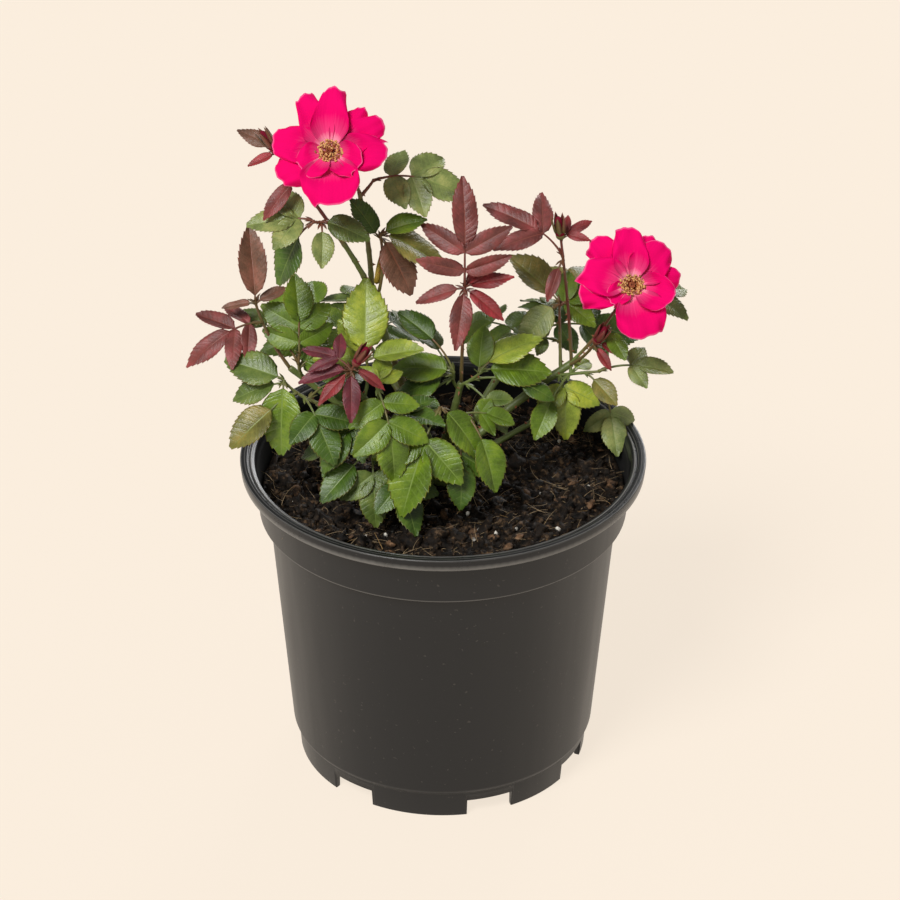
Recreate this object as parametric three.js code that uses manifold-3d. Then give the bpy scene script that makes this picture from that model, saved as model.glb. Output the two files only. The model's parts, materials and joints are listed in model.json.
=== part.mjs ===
// A rose bush in its round nursery pot, in millimetres, +Z up.
// The origin is the middle of the pot's foot, on the ground. -Y is the front.
import * as THREE from "three";
import { mergeVertices } from "three/addons/utils/BufferGeometryUtils.js";
import Module from "manifold-3d";

const wasm = await Module();
wasm.setup();

// The pot
const POT_HEIGHT = 234;
const RIM_RADIUS = 140;
const RIM_FACE = 8.4;
const RIM_UNDERSIDE_RADIUS = 139.2;
const RIM_BAND = 5.5;
const RIM_GROOVE_WIDTH = 1.6;
const RIM_GROOVE_DEPTH = 2;
const RIM_LIP_WIDTH = 3;
const COLLAR_LEDGE_HEIGHT = 194;
const COLLAR_RADIUS = 127.5;
const COLLAR_TOP_RADIUS = 129.5;
const WALL_TOP_RADIUS = 120.8;
const WALL_FOOT_RADIUS = 107.3;
const WALL_THICKNESS = 2.4;
const FOOT_HEIGHT = 22;
const FOOT_TOP_RADIUS = 104.2;
const FOOT_RADIUS = 102.6;
const FOOT_THICKNESS = 4;
const FOOT_STEP = 2;
const FLOOR_UNDERSIDE = 14;
const FLOOR_TOP = 17;
const FLOOR_FILLET = 2;
const POT_FACETS = 40;
const NOTCH_ANGLES = [-37.5, 19, 64, 115, 167, 219, 270];
const NOTCH_SWEEP = 18.5;
const NOTCH_HEIGHT = 13;

// The soil, and the short stem that all canes grow from
const SOIL_LEVEL = 212;
const CLEARANCE = 0.3;
const STEM_TOP = 240;
const STEM_FOOT_RADIUS = 8.5;
const STEM_TOP_RADIUS = 6;
const STEM_SIDES = 8;
const STEM_STEPS = 2;
const CANE_SIDES = 5;
const CANE_STEPS = 6;

// Leaves: a stalk with leaflets in pairs and one at its end. Widths are shares of the length.
const LEAFLET_WIDTH = 0.62;
const YOUNG_LEAFLET_WIDTH = 0.44;
const LEAFLET_THICKNESS = 1;
const LEAFLET_SIDES = 6;
const LEAFLET_FOLD = 0.1;
const LEAFLET_SAG = 0.3;
const LEAFLET_TILT = 0.5;
const LEAFLET_SPREAD = 0.16;
const BLADE_MIDDLE = 0.3;
const BLADE_TAPER = 0.24;
const ROOT_SINK = 0.5;
const TWIG_SIDES = 3;
const TWIG_STEPS = 4;
const TWIG_RADII = [1.7, 1.2];
const STALK_RADII = [1.4, 1.1];
const STALK_STEPS = 2;
const STALK_DROOP = 34;
const PAIRS = [
  { place: 0.84, angle: 58, size: 0.84 },
  { place: 0.4, angle: 72, size: 0.72 },
];
const LEAN_TO_LIGHT = 1.4;
const LIGHT = new THREE.Vector3(0.1, -0.7, 0.7);
const WOBBLE = 9;
const NUDGES = [0, 14, -14, 28, -28, 42];

// Blooms and buds
const PETAL_SIDES = 8;
const PETAL_THICKNESS = 1;
const EYE_RADIUS = 7;
const BUD_RADIUS = 4.6;
const BUD_LENGTH = 17;

// Edges shorter than this are closed up where solids are joined.
const FINEST_EDGE = 0.1;

const GREEN = { color: 0x3f6f2c, roughness: 0.45 };
const BRONZE = { color: 0x6b3a34, roughness: 0.45 };
const PINK = { color: 0xe8105f, roughness: 0.5 };
const CANE = { color: 0x6d7a3a, roughness: 0.6 };
const EARTH = { color: 0x2c211a, roughness: 0.95 };
const BLACK = { color: 0x2b2c2f, roughness: 0.45 };

// Each bough is one tapering limb. It leaves its carrier's axis at a share of its length, and runs
// to its tip by way of a bend.
const BOUGHS = {
  cane_left: {
    on: "crown_stem", at: 0.35, bend: [-34, 4, 292], tip: [-48, 8, 354], radii: [3.4, 2.6],
  },
  cane_left_top: {
    on: "cane_left", at: 1, bend: [-58, -2, 384], tip: [-76, -10, 416], radii: [1.9, 1.6],
  },
  cane_left_bloom: {
    on: "cane_left", at: 1, bend: [-50, 18, 392], tip: [-56, 10, 428], radii: [1.9, 1.5],
  },
  cane_left_side: {
    on: "crown_stem", at: 0.13, bend: [-62, -8, 268], tip: [-104, -6, 304], radii: [3, 2],
  },
  cane_left_front: {
    on: "crown_stem", at: 0.5, bend: [-34, -30, 272], tip: [-58, -38, 304], radii: [2.8, 2],
  },
  cane_left_low: {
    on: "crown_stem", at: 0.31, bend: [-46, -42, 258], tip: [-84, -44, 298], radii: [2.6, 1.9],
  },
  cane_centre: {
    on: "crown_stem", at: 1, bend: [6, -3, 262], tip: [12, -4, 292], radii: [3, 2.2],
  },
  cane_right: {
    on: "crown_stem", at: 0.35, bend: [42, 16, 262], tip: [88, 27, 290], radii: [3.6, 2.6],
  },
  cane_right_low: {
    on: "crown_stem", at: 0.1, bend: [58, 34, 240], tip: [102, 44, 256], radii: [2.2, 1.8],
  },
  cane_front: {
    on: "crown_stem", at: 0.13, bend: [6, -26, 252], tip: [2, -36, 284], radii: [2.6, 1.9],
  },
  cane_low: {
    on: "crown_stem", at: 0.08, bend: [-20, -32, 238], tip: [-38, -42, 256], radii: [2.2, 1.8],
  },
  cane_back_left: {
    on: "crown_stem", at: 0.2, bend: [-26, 38, 256], tip: [-48, 58, 280], radii: [3, 2.2],
  },
  cane_back_right: {
    on: "crown_stem", at: 0.06, bend: [26, 40, 256], tip: [54, 66, 284], radii: [3, 2.2],
  },
};

// The petals of the two blooms: direction round the eye, length, width and lift.
const PETALS_LEFT = [
  [92, 41, 27, 14], [122, 41, 24, 8], [172, 38, 25, 8], [206, 37, 25, 2], [219, 22, 22, 24],
  [279, 34, 37, 12], [338, 24, 22, 26], [3, 36, 24, 10], [36, 38, 25, 8], [60, 35, 20, 2],
];
const PETALS_RIGHT = [
  [90, 38, 25, 14], [124, 39, 24, 6], [160, 34, 26, 12], [187, 34, 23, 4], [210, 19, 15, 24],
  [283, 36, 33, 10], [337, 29, 24, 24], [8, 33, 21, 4], [46, 35, 27, 12], [64, 36, 19, 2],
];

// Each mass grows on from a bough's tip: a stem, and leaves by share of the stem, heading
// (0 right, 90 back, 180 left, -90 front), rise, stalk length, pairs and leaflet length.
const MASSES = {
  bloom_left: {
    on: "cane_left_bloom", bend: [-62, 2, 450], tip: [-72, -20, 469],
    leaves: [[0.62, 150, 14, 25, 1, 24]],
    bloom: { petals: PETALS_LEFT, centre: [-73, -25, 473], facing: [-0.14, -0.8, 0.58] },
  },
  green_spray_top: {
    on: "cane_left_bloom", at: 0.95, bend: [-48, 14, 432], tip: [-47, 15, 434],
    leaves: [[1, -8, 8, 33, 2, 34]],
  },
  bronze_spray: {
    on: "cane_left", at: 0.94, bend: [-38, 0, 372], tip: [-42, -2, 402],
    leaves: [
      [1, -10, 2, 6, 0, 44], [1, 10, 36, 5, 0, 28], [0.97, -38, -26, 5, 0, 38],
      [0.95, 150, 40, 6, 0, 27], [0.1, 0, 4, 32, 1, 29],
    ],
  },
  green_spray_left: {
    on: "cane_left_top", bend: [-82, -16, 418], tip: [-85, -18, 420],
    leaves: [
      [1, 178, 10, 12, 1, 33], [0.98, -156, -38, 15, 0, 36], [0.5, -20, 12, 6, 0, 27],
      [0.4, -84, -30, 8, 0, 22],
    ],
  },
  red_tuft_left: {
    on: "cane_left_top", at: 0.96, bend: [-92, -4, 438], tip: [-110, -2, 464], young: true,
    leaves: [[0.97, 152, 40, 6, 0, 26], [0.6, -140, -14, 6, 0, 27], [0.95, 196, 0, 4, 0, 16]],
    bud: true,
  },
  red_shoot_left: {
    on: "cane_left_side", bend: [-120, -2, 326], tip: [-126, -6, 354], young: true,
    leaves: [
      [1, 95, 80, 5, 0, 43], [0.97, 186, 16, 4, 0, 20], [0.97, 22, 42, 4, 0, 22],
      [0.7, 205, -4, 25, 2, 37],
    ],
  },
  green_left_side: {
    on: "cane_left_side", at: 0.9, bend: [-99, -12, 308], tip: [-97, -10, 316],
    leaves: [[1, 92, 74, 24, 2, 33], [0.6, 155, 46, 36, 0, 22], [0.4, 20, 40, 8, 1, 22]],
  },
  red_shoot_middle: {
    on: "cane_left_front", bend: [-68, -54, 318], tip: [-57, -60, 338], young: true,
    leaves: [
      [0.8, 155, 34, 14, 1, 25], [0.8, 186, 12, 5, 0, 30], [0.78, -145, -12, 5, 0, 25],
      [0.8, -92, -42, 4, 0, 28], [0.84, -20, -4, 4, 0, 20],
    ],
    bud: true,
  },
  front: {
    on: "cane_front", bend: [1, -42, 294], tip: [-2, -46, 296],
    leaves: [[1, -118, -38, 32, 1, 45], [0.9, -34, -22, 6, 0, 35], [0.6, -165, -24, 26, 0, 32]],
  },
  bright_spray: {
    on: "cane_left_front", at: 0.9, bend: [-48, -28, 312], tip: [-52, -32, 326],
    leaves: [
      [1, 95, 74, 6, 0, 43], [1, 140, 54, 5, 0, 28], [0.9, 182, 22, 6, 0, 31], [0.9, 2, 28, 6, 0, 33],
    ],
  },
  left_low: {
    on: "cane_left_low", bend: [-100, -42, 304], tip: [-106, -42, 314],
    leaves: [
      [1, -95, -40, 6, 0, 46], [0.97, 168, 34, 6, 0, 38], [0.86, 184, 2, 9, 0, 30],
      [0.5, -152, -22, 22, 0, 35], [0.3, -62, -22, 20, 1, 31], [0.2, 40, 16, 22, 1, 28],
    ],
  },
  front_left: {
    on: "cane_left_front", at: 0.7, bend: [-42, -42, 298], tip: [-44, -47, 312],
    leaves: [
      [1, -68, -40, 32, 2, 35], [0.9, 80, 44, 8, 1, 20], [0.4, -140, -24, 30, 1, 30],
      [0.2, -30, 6, 22, 1, 27],
    ],
  },
  red_shoot_centre: {
    on: "cane_centre", bend: [13, -10, 332], tip: [14, -16, 372], young: true,
    leaves: [
      [1, 90, 84, 30, 2, 42], [0.97, -100, -38, 4, 0, 34], [0.97, 188, 6, 5, 0, 31],
      [0.97, 34, 52, 4, 0, 25], [0.98, 8, 30, 4, 0, 30], [0.96, -22, -4, 4, 0, 29],
    ],
  },
  centre_left: {
    on: "cane_centre", at: 0.9, bend: [4, -6, 296], tip: [7, -12, 304],
    leaves: [
      [1, 174, 22, 5, 0, 33], [1, 150, 52, 28, 0, 32], [0.8, -166, 0, 8, 0, 35],
      [0.4, 124, 40, 26, 0, 27], [0.6, -150, -26, 26, 1, 27],
    ],
  },
  centre_right: {
    on: "cane_centre", at: 0.96, bend: [20, -8, 296], tip: [25, -10, 303],
    leaves: [
      [1, 2, 20, 8, 0, 42], [1, 18, 48, 10, 0, 38], [0.9, 84, 66, 5, 0, 28],
      [0.5, -10, 2, 36, 0, 24], [0.2, -40, -22, 24, 1, 21],
    ],
  },
  bud_shoot_right: {
    on: "cane_right", bend: [86, 27, 330], tip: [78, 15, 394], young: true,
    leaves: [[0.86, 162, 44, 26, 1, 39], [0.84, -120, -30, 8, 0, 22], [0.97, 24, 42, 7, 1, 18]],
    bud: true,
  },
  olive_spray: {
    on: "cane_right", at: 0.92, bend: [80, 38, 308], tip: [79, 34, 332],
    leaves: [
      [1, 150, 52, 8, 0, 38], [1, -154, -14, 6, 0, 30], [0.96, 20, 34, 6, 1, 30],
      [0.4, 184, 8, 28, 2, 19],
    ],
  },
  bloom_right: {
    on: "cane_right", at: 0.96, bend: [110, 30, 312], tip: [124, 2, 362],
    leaves: [[0.7, 34, 12, 38, 1, 34], [0.55, -60, -10, 9, 0, 22]],
    bloom: { petals: PETALS_RIGHT, centre: [125, -2, 365], facing: [0.1, -0.8, 0.58] },
  },
  bud_right: {
    on: "cane_right", at: 0.98, bend: [97, 16, 300], tip: [104, 8, 318], young: true,
    leaves: [[0.9, -10, 4, 5, 0, 18], [0.88, -48, -26, 4, 0, 17]],
    bud: true,
  },
  green_right: {
    on: "cane_right", at: 0.86, bend: [96, 14, 290], tip: [106, 12, 292],
    leaves: [
      [1, 0, 10, 28, 1, 24], [0.12, -74, -30, 12, 1, 32], [0.3, 40, 30, 6, 0, 18],
      [0.6, -44, -12, 10, 0, 21], [0.3, -128, -30, 26, 0, 29],
    ],
  },
  droop_right: {
    on: "cane_right_low", bend: [108, 44, 260], tip: [112, 44, 260],
    leaves: [[1, -60, -60, 20, 1, 26]],
  },
  front_right: {
    on: "cane_front", at: 0.88, bend: [8, -38, 290], tip: [15, -40, 288],
    leaves: [[1, -52, -34, 22, 0, 38], [0.6, -84, -44, 36, 1, 32], [0.3, 6, 4, 24, 1, 22]],
  },
  low_centre: {
    on: "cane_low", bend: [-44, -46, 262], tip: [-48, -50, 266],
    leaves: [
      [1, -84, -42, 22, 1, 32], [0.7, 172, 6, 26, 1, 30], [0.3, -60, -24, 34, 1, 30],
      [0.8, 176, 42, 20, 1, 26], [0.9, -140, -20, 18, 0, 30],
    ],
  },
  back_left: {
    on: "cane_back_left", bend: [-60, 66, 300], tip: [-68, 70, 302],
    leaves: [
      [0.2, 60, 0, 40, 2, 34], [0.4, 200, 10, 40, 2, 34], [0.7, 90, 10, 30, 2, 32],
      [1, 150, 6, 30, 1, 34],
    ],
  },
  back_right: {
    on: "cane_back_right", bend: [66, 70, 292], tip: [74, 74, 304],
    leaves: [
      [0.2, 140, 0, 40, 2, 34], [0.5, 10, 0, 40, 2, 34], [0.8, 80, 0, 24, 2, 30],
      [1, 50, 30, 28, 1, 34],
    ],
  },
};

const radians = THREE.MathUtils.degToRad;
const vector = (list) => new THREE.Vector3(...list);

/** Seeded numbers from 0 to 1, the same on every run. */
function dice(seed) {
  let state = (seed * 7919 + 104729) % 4294967296;
  return () => {
    state = (state * 1664525 + 1013904223) % 4294967296;
    return state / 4294967296;
  };
}

/** The direction of a heading and a rise, both in degrees. */
function bearing(heading, rise) {
  const level = Math.cos(radians(rise));
  return new THREE.Vector3(
    level * Math.cos(radians(heading)),
    level * Math.sin(radians(heading)),
    Math.sin(radians(rise)),
  );
}

/** What is left of a direction across another one, at unit length. */
function across(direction, axis) {
  return direction.clone().addScaledVector(axis, -direction.dot(axis)).normalize();
}

function solidOf(geometry) {
  const bare = geometry.clone();
  bare.deleteAttribute("normal");
  bare.deleteAttribute("uv");
  const merged = mergeVertices(bare, 1e-4);
  return new wasm.Manifold(new wasm.Mesh({
    numProp: 3,
    vertProperties: new Float32Array(merged.attributes.position.array),
    triVerts: new Uint32Array(merged.index.array),
  }));
}

function geometryOf(solid) {
  const { vertProperties, triVerts } = solid.getMesh();
  const geometry = new THREE.BufferGeometry();
  geometry.setAttribute("position", new THREE.BufferAttribute(new Float32Array(vertProperties), 3));
  geometry.setIndex(new THREE.BufferAttribute(new Uint32Array(triVerts), 1));
  geometry.computeVertexNormals();
  return geometry;
}

/** A round limb that tapers along a curve: a cylinder bent to it, and grown on all sides if asked. */
function limb(curve, [footRadius, tipRadius], sides, steps, grown = 0) {
  const wider = grown / Math.cos(Math.PI / sides);
  const geometry = new THREE.CylinderGeometry(tipRadius + wider, footRadius + wider, 1, sides, steps);
  const frames = curve.computeFrenetFrames(steps, false);
  const places = geometry.attributes.position;
  for (let i = 0; i < places.count; i += 1) {
    const share = THREE.MathUtils.clamp(places.getY(i) + 0.5, 0, 1);
    const step = Math.round(share * steps);
    const past = (step === steps ? grown : 0) - (step === 0 ? grown : 0);
    const place = curve.getPoint(step / steps)
      .addScaledVector(frames.tangents[step], past)
      .addScaledVector(frames.normals[step], places.getX(i))
      .addScaledVector(frames.binormals[step], -places.getZ(i));
    places.setXYZ(i, place.x, place.y, place.z);
  }
  return solidOf(geometry);
}

/** An ovate blade: a flat double pyramid whose edges fold up from the midrib. */
function blade({ root, along, face, length, width, thickness, sides, fold }) {
  const geometry = new THREE.SphereGeometry(1, sides, 2);
  const side = along.clone().cross(face);
  const places = geometry.attributes.position;
  for (let i = 0; i < places.count; i += 1) {
    const pole = places.getY(i);
    const angle = Math.atan2(places.getZ(i), places.getX(i));
    const onPole = Math.abs(pole) > 0.5;
    const out = onPole ? BLADE_MIDDLE : 0.5 + 0.5 * Math.cos(angle);
    const wide = onPole ? 0 : Math.sin(angle) * (1 + BLADE_TAPER * (BLADE_MIDDLE - out));
    const lift = onPole ? Math.sign(pole) * thickness / 2 : fold * Math.abs(wide) * width;
    const place = root.clone()
      .addScaledVector(along, out * length)
      .addScaledVector(side, wide * width / 2)
      .addScaledVector(face, lift);
    places.setXYZ(i, place.x, place.y, place.z);
  }
  const solid = solidOf(geometry);
  return solid.volume() > 0 ? solid : turnedOut(geometry);
}

/** The same shape with its faces turned the other way round. */
function turnedOut(geometry) {
  const index = geometry.index.array;
  for (let i = 0; i < index.length; i += 3) {
    [index[i], index[i + 1]] = [index[i + 1], index[i]];
  }
  return solidOf(geometry);
}

/** A stalk's curve: it starts and ends half its droop above and below its mean rise. */
function stalkCurve(start, heading, rise, reach) {
  const knee = start.clone().addScaledVector(bearing(heading, rise + STALK_DROOP / 2), reach / 2);
  const end = knee.clone().addScaledVector(bearing(heading, rise - STALK_DROOP / 2), reach / 2);
  return new THREE.QuadraticBezierCurve3(start, knee, end);
}

/** The leaflets of one leaf: their roots, directions, faces and lengths. */
function leaflets(curve, heading, size, pairs, roll) {
  const found = [];
  const add = (place, angle, share) => {
    const ahead = curve.getTangent(place);
    const level = new THREE.Vector3(Math.sin(radians(heading)), -Math.cos(radians(heading)), 0);
    const up = level.cross(ahead).normalize();
    const face = across(up.addScaledVector(LIGHT, LEAN_TO_LIGHT), ahead);
    const side = ahead.clone().cross(face);
    const turn = radians(angle + WOBBLE * (roll() - 0.5));
    const along = ahead.clone().multiplyScalar(Math.cos(turn)).addScaledVector(side, Math.sin(turn));
    along.addScaledVector(face, LEAFLET_SAG * (roll() - 0.7)).normalize();
    const tilted = face.clone().addScaledVector(side, LEAFLET_TILT * (roll() - 0.5));
    const length = size * share * (1 + LEAFLET_SPREAD * (roll() - 0.5));
    found.push({ root: curve.getPoint(place), along, face: across(tilted, along), length });
  };
  add(1, 0, 1);
  for (const pair of PAIRS.slice(0, pairs)) {
    add(pair.place, pair.angle, pair.size);
    add(pair.place, -pair.angle, pair.size);
  }
  return found;
}

const curves = {};
const taken = [];

/** The limb or mass that a shape touches, apart from its own. */
function touches(shape, own) {
  const box = shape.boundingBox();
  return taken.find(({ solid, bounds, name }) => name !== own
    && [0, 1, 2].every((k) => box.min[k] <= bounds.max[k] && bounds.min[k] <= box.max[k])
    && !shape.intersect(solid).isEmpty());
}

/** Keeps a solid's place. Limbs that come later are cut clear of its room. */
function claim(solid, name, room) {
  taken.push({ solid, bounds: solid.boundingBox(), name, room });
  return solid;
}

/** The largest of the pieces that a solid consists of. */
function largest(solid) {
  return solid.decompose().sort((a, b) => b.volume() - a.volume())[0];
}

/** The curve of a bough or a mass's stem, from its carrier's axis by way of its bend to its tip. */
function growCurve(name, { on, at = 1, bend, tip }) {
  curves[name] = new THREE.QuadraticBezierCurve3(curves[on].getPoint(at), vector(bend), vector(tip));
  return curves[name];
}

/** A limb cut 0.3 mm clear of the limbs before it, so that its foot fits round its carrier. */
function seatedLimb(name, curve, radii, sides, steps) {
  const whole = limb(curve, radii, sides, steps);
  const cut = taken.reduce((left, { room }) => (room ? left.subtract(room) : left), whole);
  const seated = largest(cut);
  const other = touches(seated, name);
  if (other) {
    throw new Error(`${name} touches ${other.name}`);
  }
  return { seated, room: limb(curve, radii, sides, steps, CLEARANCE) };
}

/** A leaflet, tilted a little further where it would touch a neighbour, or nothing. */
function freeLeaflet({ root, along, face, length }, width, name) {
  for (const nudge of NUDGES) {
    const turn = new THREE.Quaternion().setFromAxisAngle(along.clone().cross(face), radians(nudge));
    const ahead = along.clone().applyQuaternion(turn);
    const top = face.clone().applyQuaternion(turn);
    const shape = {
      root: root.clone().addScaledVector(ahead, -ROOT_SINK),
      along: ahead,
      face: top,
      length: length + ROOT_SINK,
      width: length * width,
      thickness: LEAFLET_THICKNESS,
      sides: LEAFLET_SIDES,
      fold: LEAFLET_FOLD,
    };
    const room = blade({ ...shape, thickness: LEAFLET_THICKNESS + 2 * CLEARANCE });
    if (!touches(room, name)) {
      return blade(shape);
    }
  }
  return null;
}

/** A bloom: petals round a domed eye, facing one way. */
function bloomParts({ petals, centre, facing }) {
  const axis = vector(facing).normalize();
  const up = across(new THREE.Vector3(0, 0, 1), axis);
  const right = up.clone().cross(axis);
  const middle = vector(centre);
  const eye = new THREE.SphereGeometry(EYE_RADIUS, 8, 5);
  eye.translate(middle.x, middle.y, middle.z);
  const parts = [solidOf(eye)];
  for (const [angle, length, width, lift] of petals) {
    const outward = right.clone().multiplyScalar(Math.cos(radians(angle)))
      .addScaledVector(up, Math.sin(radians(angle)));
    const along = outward.clone().multiplyScalar(Math.cos(radians(lift)))
      .addScaledVector(axis, Math.sin(radians(lift)));
    parts.push(blade({
      root: middle.clone().addScaledVector(along, 1),
      along,
      face: across(axis, along),
      length,
      width,
      thickness: PETAL_THICKNESS,
      sides: PETAL_SIDES,
      fold: LEAFLET_FOLD,
    }));
  }
  return parts;
}

function budPart(end, along) {
  const geometry = new THREE.SphereGeometry(1, 6, 4);
  geometry.scale(BUD_RADIUS, BUD_LENGTH / 2, BUD_RADIUS);
  const turn = new THREE.Quaternion().setFromUnitVectors(new THREE.Vector3(0, 1, 0), along);
  geometry.applyQuaternion(turn);
  const middle = end.clone().addScaledVector(along, BUD_LENGTH / 3);
  geometry.translate(middle.x, middle.y, middle.z);
  return solidOf(geometry);
}

function massSolid(name, mass, seed) {
  const stem = growCurve(name, mass);
  const { seated, room } = seatedLimb(name, stem, TWIG_RADII, TWIG_SIDES, TWIG_STEPS);
  const parts = [seated];
  const width = mass.young ? YOUNG_LEAFLET_WIDTH : LEAFLET_WIDTH;
  if (mass.bloom) {
    parts.push(...bloomParts(mass.bloom));
  }
  if (mass.bud) {
    parts.push(budPart(stem.getPoint(1), stem.getTangent(1)));
  }
  mass.leaves.forEach(([share, heading, rise, reach, pairs, size], index) => {
    const roll = dice(seed * 100 + index);
    const curve = stalkCurve(stem.getPoint(share), heading, rise, reach);
    const stalk = limb(curve, STALK_RADII, TWIG_SIDES, STALK_STEPS);
    if (touches(stalk, name)) {
      return;
    }
    const blades = leaflets(curve, heading, size, pairs, roll)
      .map((leaflet) => freeLeaflet(leaflet, width, name))
      .filter((found) => found);
    parts.push(stalk, ...blades);
  });
  return claim(largest(wasm.Manifold.union(parts).simplify(FINEST_EDGE)), name, room);
}

const group = new THREE.Group();

function finishOf({ bloom, young }) {
  if (bloom) {
    return PINK;
  }
  return young ? BRONZE : GREEN;
}

function place(name, solid, finish) {
  const material = new THREE.MeshStandardMaterial({ metalness: 0, ...finish });
  const mesh = new THREE.Mesh(geometryOf(solid), material);
  mesh.name = name;
  group.add(mesh);
}

function lathe(profile, facets) {
  const geometry = new THREE.LatheGeometry(profile.map(([r, z]) => new THREE.Vector2(r, z)), facets);
  geometry.rotateX(Math.PI / 2);
  const solid = solidOf(geometry);
  return solid.volume() > 0 ? solid : turnedOut(geometry);
}

function pot() {
  const bandInner = RIM_RADIUS - RIM_BAND;
  const lipOuter = bandInner - RIM_GROOVE_WIDTH;
  const lipInner = lipOuter - RIM_LIP_WIDTH;
  const collarInner = COLLAR_RADIUS - WALL_THICKNESS;
  const solid = lathe([
    [0, FLOOR_UNDERSIDE],
    [FOOT_RADIUS - FOOT_THICKNESS, FLOOR_UNDERSIDE],
    [FOOT_RADIUS - FOOT_THICKNESS, 0],
    [FOOT_RADIUS, 0],
    [FOOT_TOP_RADIUS, FOOT_HEIGHT - FOOT_STEP],
    [WALL_FOOT_RADIUS - FOOT_STEP / 2, FOOT_HEIGHT],
    [WALL_FOOT_RADIUS, FOOT_HEIGHT + FOOT_STEP],
    [WALL_TOP_RADIUS, COLLAR_LEDGE_HEIGHT],
    [COLLAR_RADIUS, COLLAR_LEDGE_HEIGHT],
    [COLLAR_TOP_RADIUS, POT_HEIGHT - RIM_FACE],
    [RIM_UNDERSIDE_RADIUS, POT_HEIGHT - RIM_FACE],
    [RIM_RADIUS, POT_HEIGHT],
    [bandInner, POT_HEIGHT],
    [bandInner, POT_HEIGHT - RIM_GROOVE_DEPTH],
    [lipOuter, POT_HEIGHT - RIM_GROOVE_DEPTH],
    [lipOuter, POT_HEIGHT - RIM_GROOVE_DEPTH / 2],
    [lipInner, POT_HEIGHT - RIM_GROOVE_DEPTH],
    [COLLAR_RADIUS, POT_HEIGHT - RIM_FACE],
    [collarInner, COLLAR_LEDGE_HEIGHT + WALL_THICKNESS],
    [WALL_TOP_RADIUS - WALL_THICKNESS, COLLAR_LEDGE_HEIGHT],
    [WALL_FOOT_RADIUS - WALL_THICKNESS, FOOT_HEIGHT],
    [WALL_FOOT_RADIUS - WALL_THICKNESS - FLOOR_FILLET, FLOOR_TOP],
    [0, FLOOR_TOP],
  ], POT_FACETS);
  const width = 2 * FOOT_RADIUS * Math.sin(radians(NOTCH_SWEEP / 2));
  return NOTCH_ANGLES.reduce((cut, angle) => {
    const notch = new THREE.BoxGeometry(width, 4 * FOOT_THICKNESS, 2 * NOTCH_HEIGHT);
    notch.translate(0, -FOOT_RADIUS, 0);
    notch.rotateZ(radians(angle));
    return cut.subtract(solidOf(notch));
  }, solid);
}

function soil() {
  const gap = WALL_THICKNESS + CLEARANCE;
  return lathe([
    [0, FLOOR_TOP + CLEARANCE],
    [WALL_FOOT_RADIUS - gap - FLOOR_FILLET, FLOOR_TOP + CLEARANCE],
    [WALL_FOOT_RADIUS - gap, FOOT_HEIGHT + CLEARANCE],
    [WALL_TOP_RADIUS - gap, COLLAR_LEDGE_HEIGHT],
    [COLLAR_RADIUS - gap, COLLAR_LEDGE_HEIGHT + WALL_THICKNESS + CLEARANCE],
    [COLLAR_RADIUS - gap, SOIL_LEVEL],
    [0, SOIL_LEVEL],
  ], POT_FACETS);
}

/** The short upright stem in the middle, flat on the soil. */
function crownStem() {
  curves.crown_stem = new THREE.LineCurve3(
    new THREE.Vector3(0, 0, SOIL_LEVEL + CLEARANCE),
    new THREE.Vector3(0, 0, STEM_TOP),
  );
  const shape = [curves.crown_stem, [STEM_FOOT_RADIUS, STEM_TOP_RADIUS], STEM_SIDES, STEM_STEPS];
  return claim(limb(...shape), "crown_stem", limb(...shape, CLEARANCE));
}

place("pot", claim(pot(), "pot"), BLACK);
place("soil", claim(soil(), "soil"), EARTH);
place("crown_stem", crownStem(), CANE);
for (const [name, bough] of Object.entries(BOUGHS)) {
  const { seated, room } = seatedLimb(name, growCurve(name, bough), bough.radii, CANE_SIDES, CANE_STEPS);
  place(name, claim(seated, name, room), CANE);
}
Object.entries(MASSES).forEach(([name, mass], index) => {
  place(name, massSolid(name, mass, index + 1), finishOf(mass));
});

export default group;
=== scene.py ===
import functools
import json
import math

import bmesh
import bpy
from mathutils import Matrix, Quaternion, Vector, noise
from mathutils.bvhtree import BVHTree

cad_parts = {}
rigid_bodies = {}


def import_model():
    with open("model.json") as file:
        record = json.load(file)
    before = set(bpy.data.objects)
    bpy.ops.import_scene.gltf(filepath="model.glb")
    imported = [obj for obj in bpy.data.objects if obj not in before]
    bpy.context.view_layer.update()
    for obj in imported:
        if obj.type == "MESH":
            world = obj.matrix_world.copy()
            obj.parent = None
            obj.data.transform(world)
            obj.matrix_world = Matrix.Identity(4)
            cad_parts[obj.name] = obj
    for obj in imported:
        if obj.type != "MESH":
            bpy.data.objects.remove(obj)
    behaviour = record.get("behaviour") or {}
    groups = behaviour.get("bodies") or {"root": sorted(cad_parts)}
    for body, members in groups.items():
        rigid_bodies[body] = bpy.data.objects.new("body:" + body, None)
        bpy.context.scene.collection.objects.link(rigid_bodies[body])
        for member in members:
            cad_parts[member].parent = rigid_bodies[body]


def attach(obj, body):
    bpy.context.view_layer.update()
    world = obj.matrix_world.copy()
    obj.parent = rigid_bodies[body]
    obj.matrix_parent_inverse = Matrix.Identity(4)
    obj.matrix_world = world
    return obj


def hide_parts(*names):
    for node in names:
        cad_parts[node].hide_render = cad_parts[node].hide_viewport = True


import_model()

bl_info = {
    "name": "Rose bush in its pot",
    "version": (1, 0, 0),
    "blender": (4, 5, 0),
    "location": "View3D > Sidebar > Rose Bush",
    "description": "Builds a potted rose bush with its canes, leaves, blooms and soil",
    "category": "Add Mesh",
}

# Lengths here are millimetres. Meshes and Blender's own properties are in metres.
MM = 0.001
BODY = "root"

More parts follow.
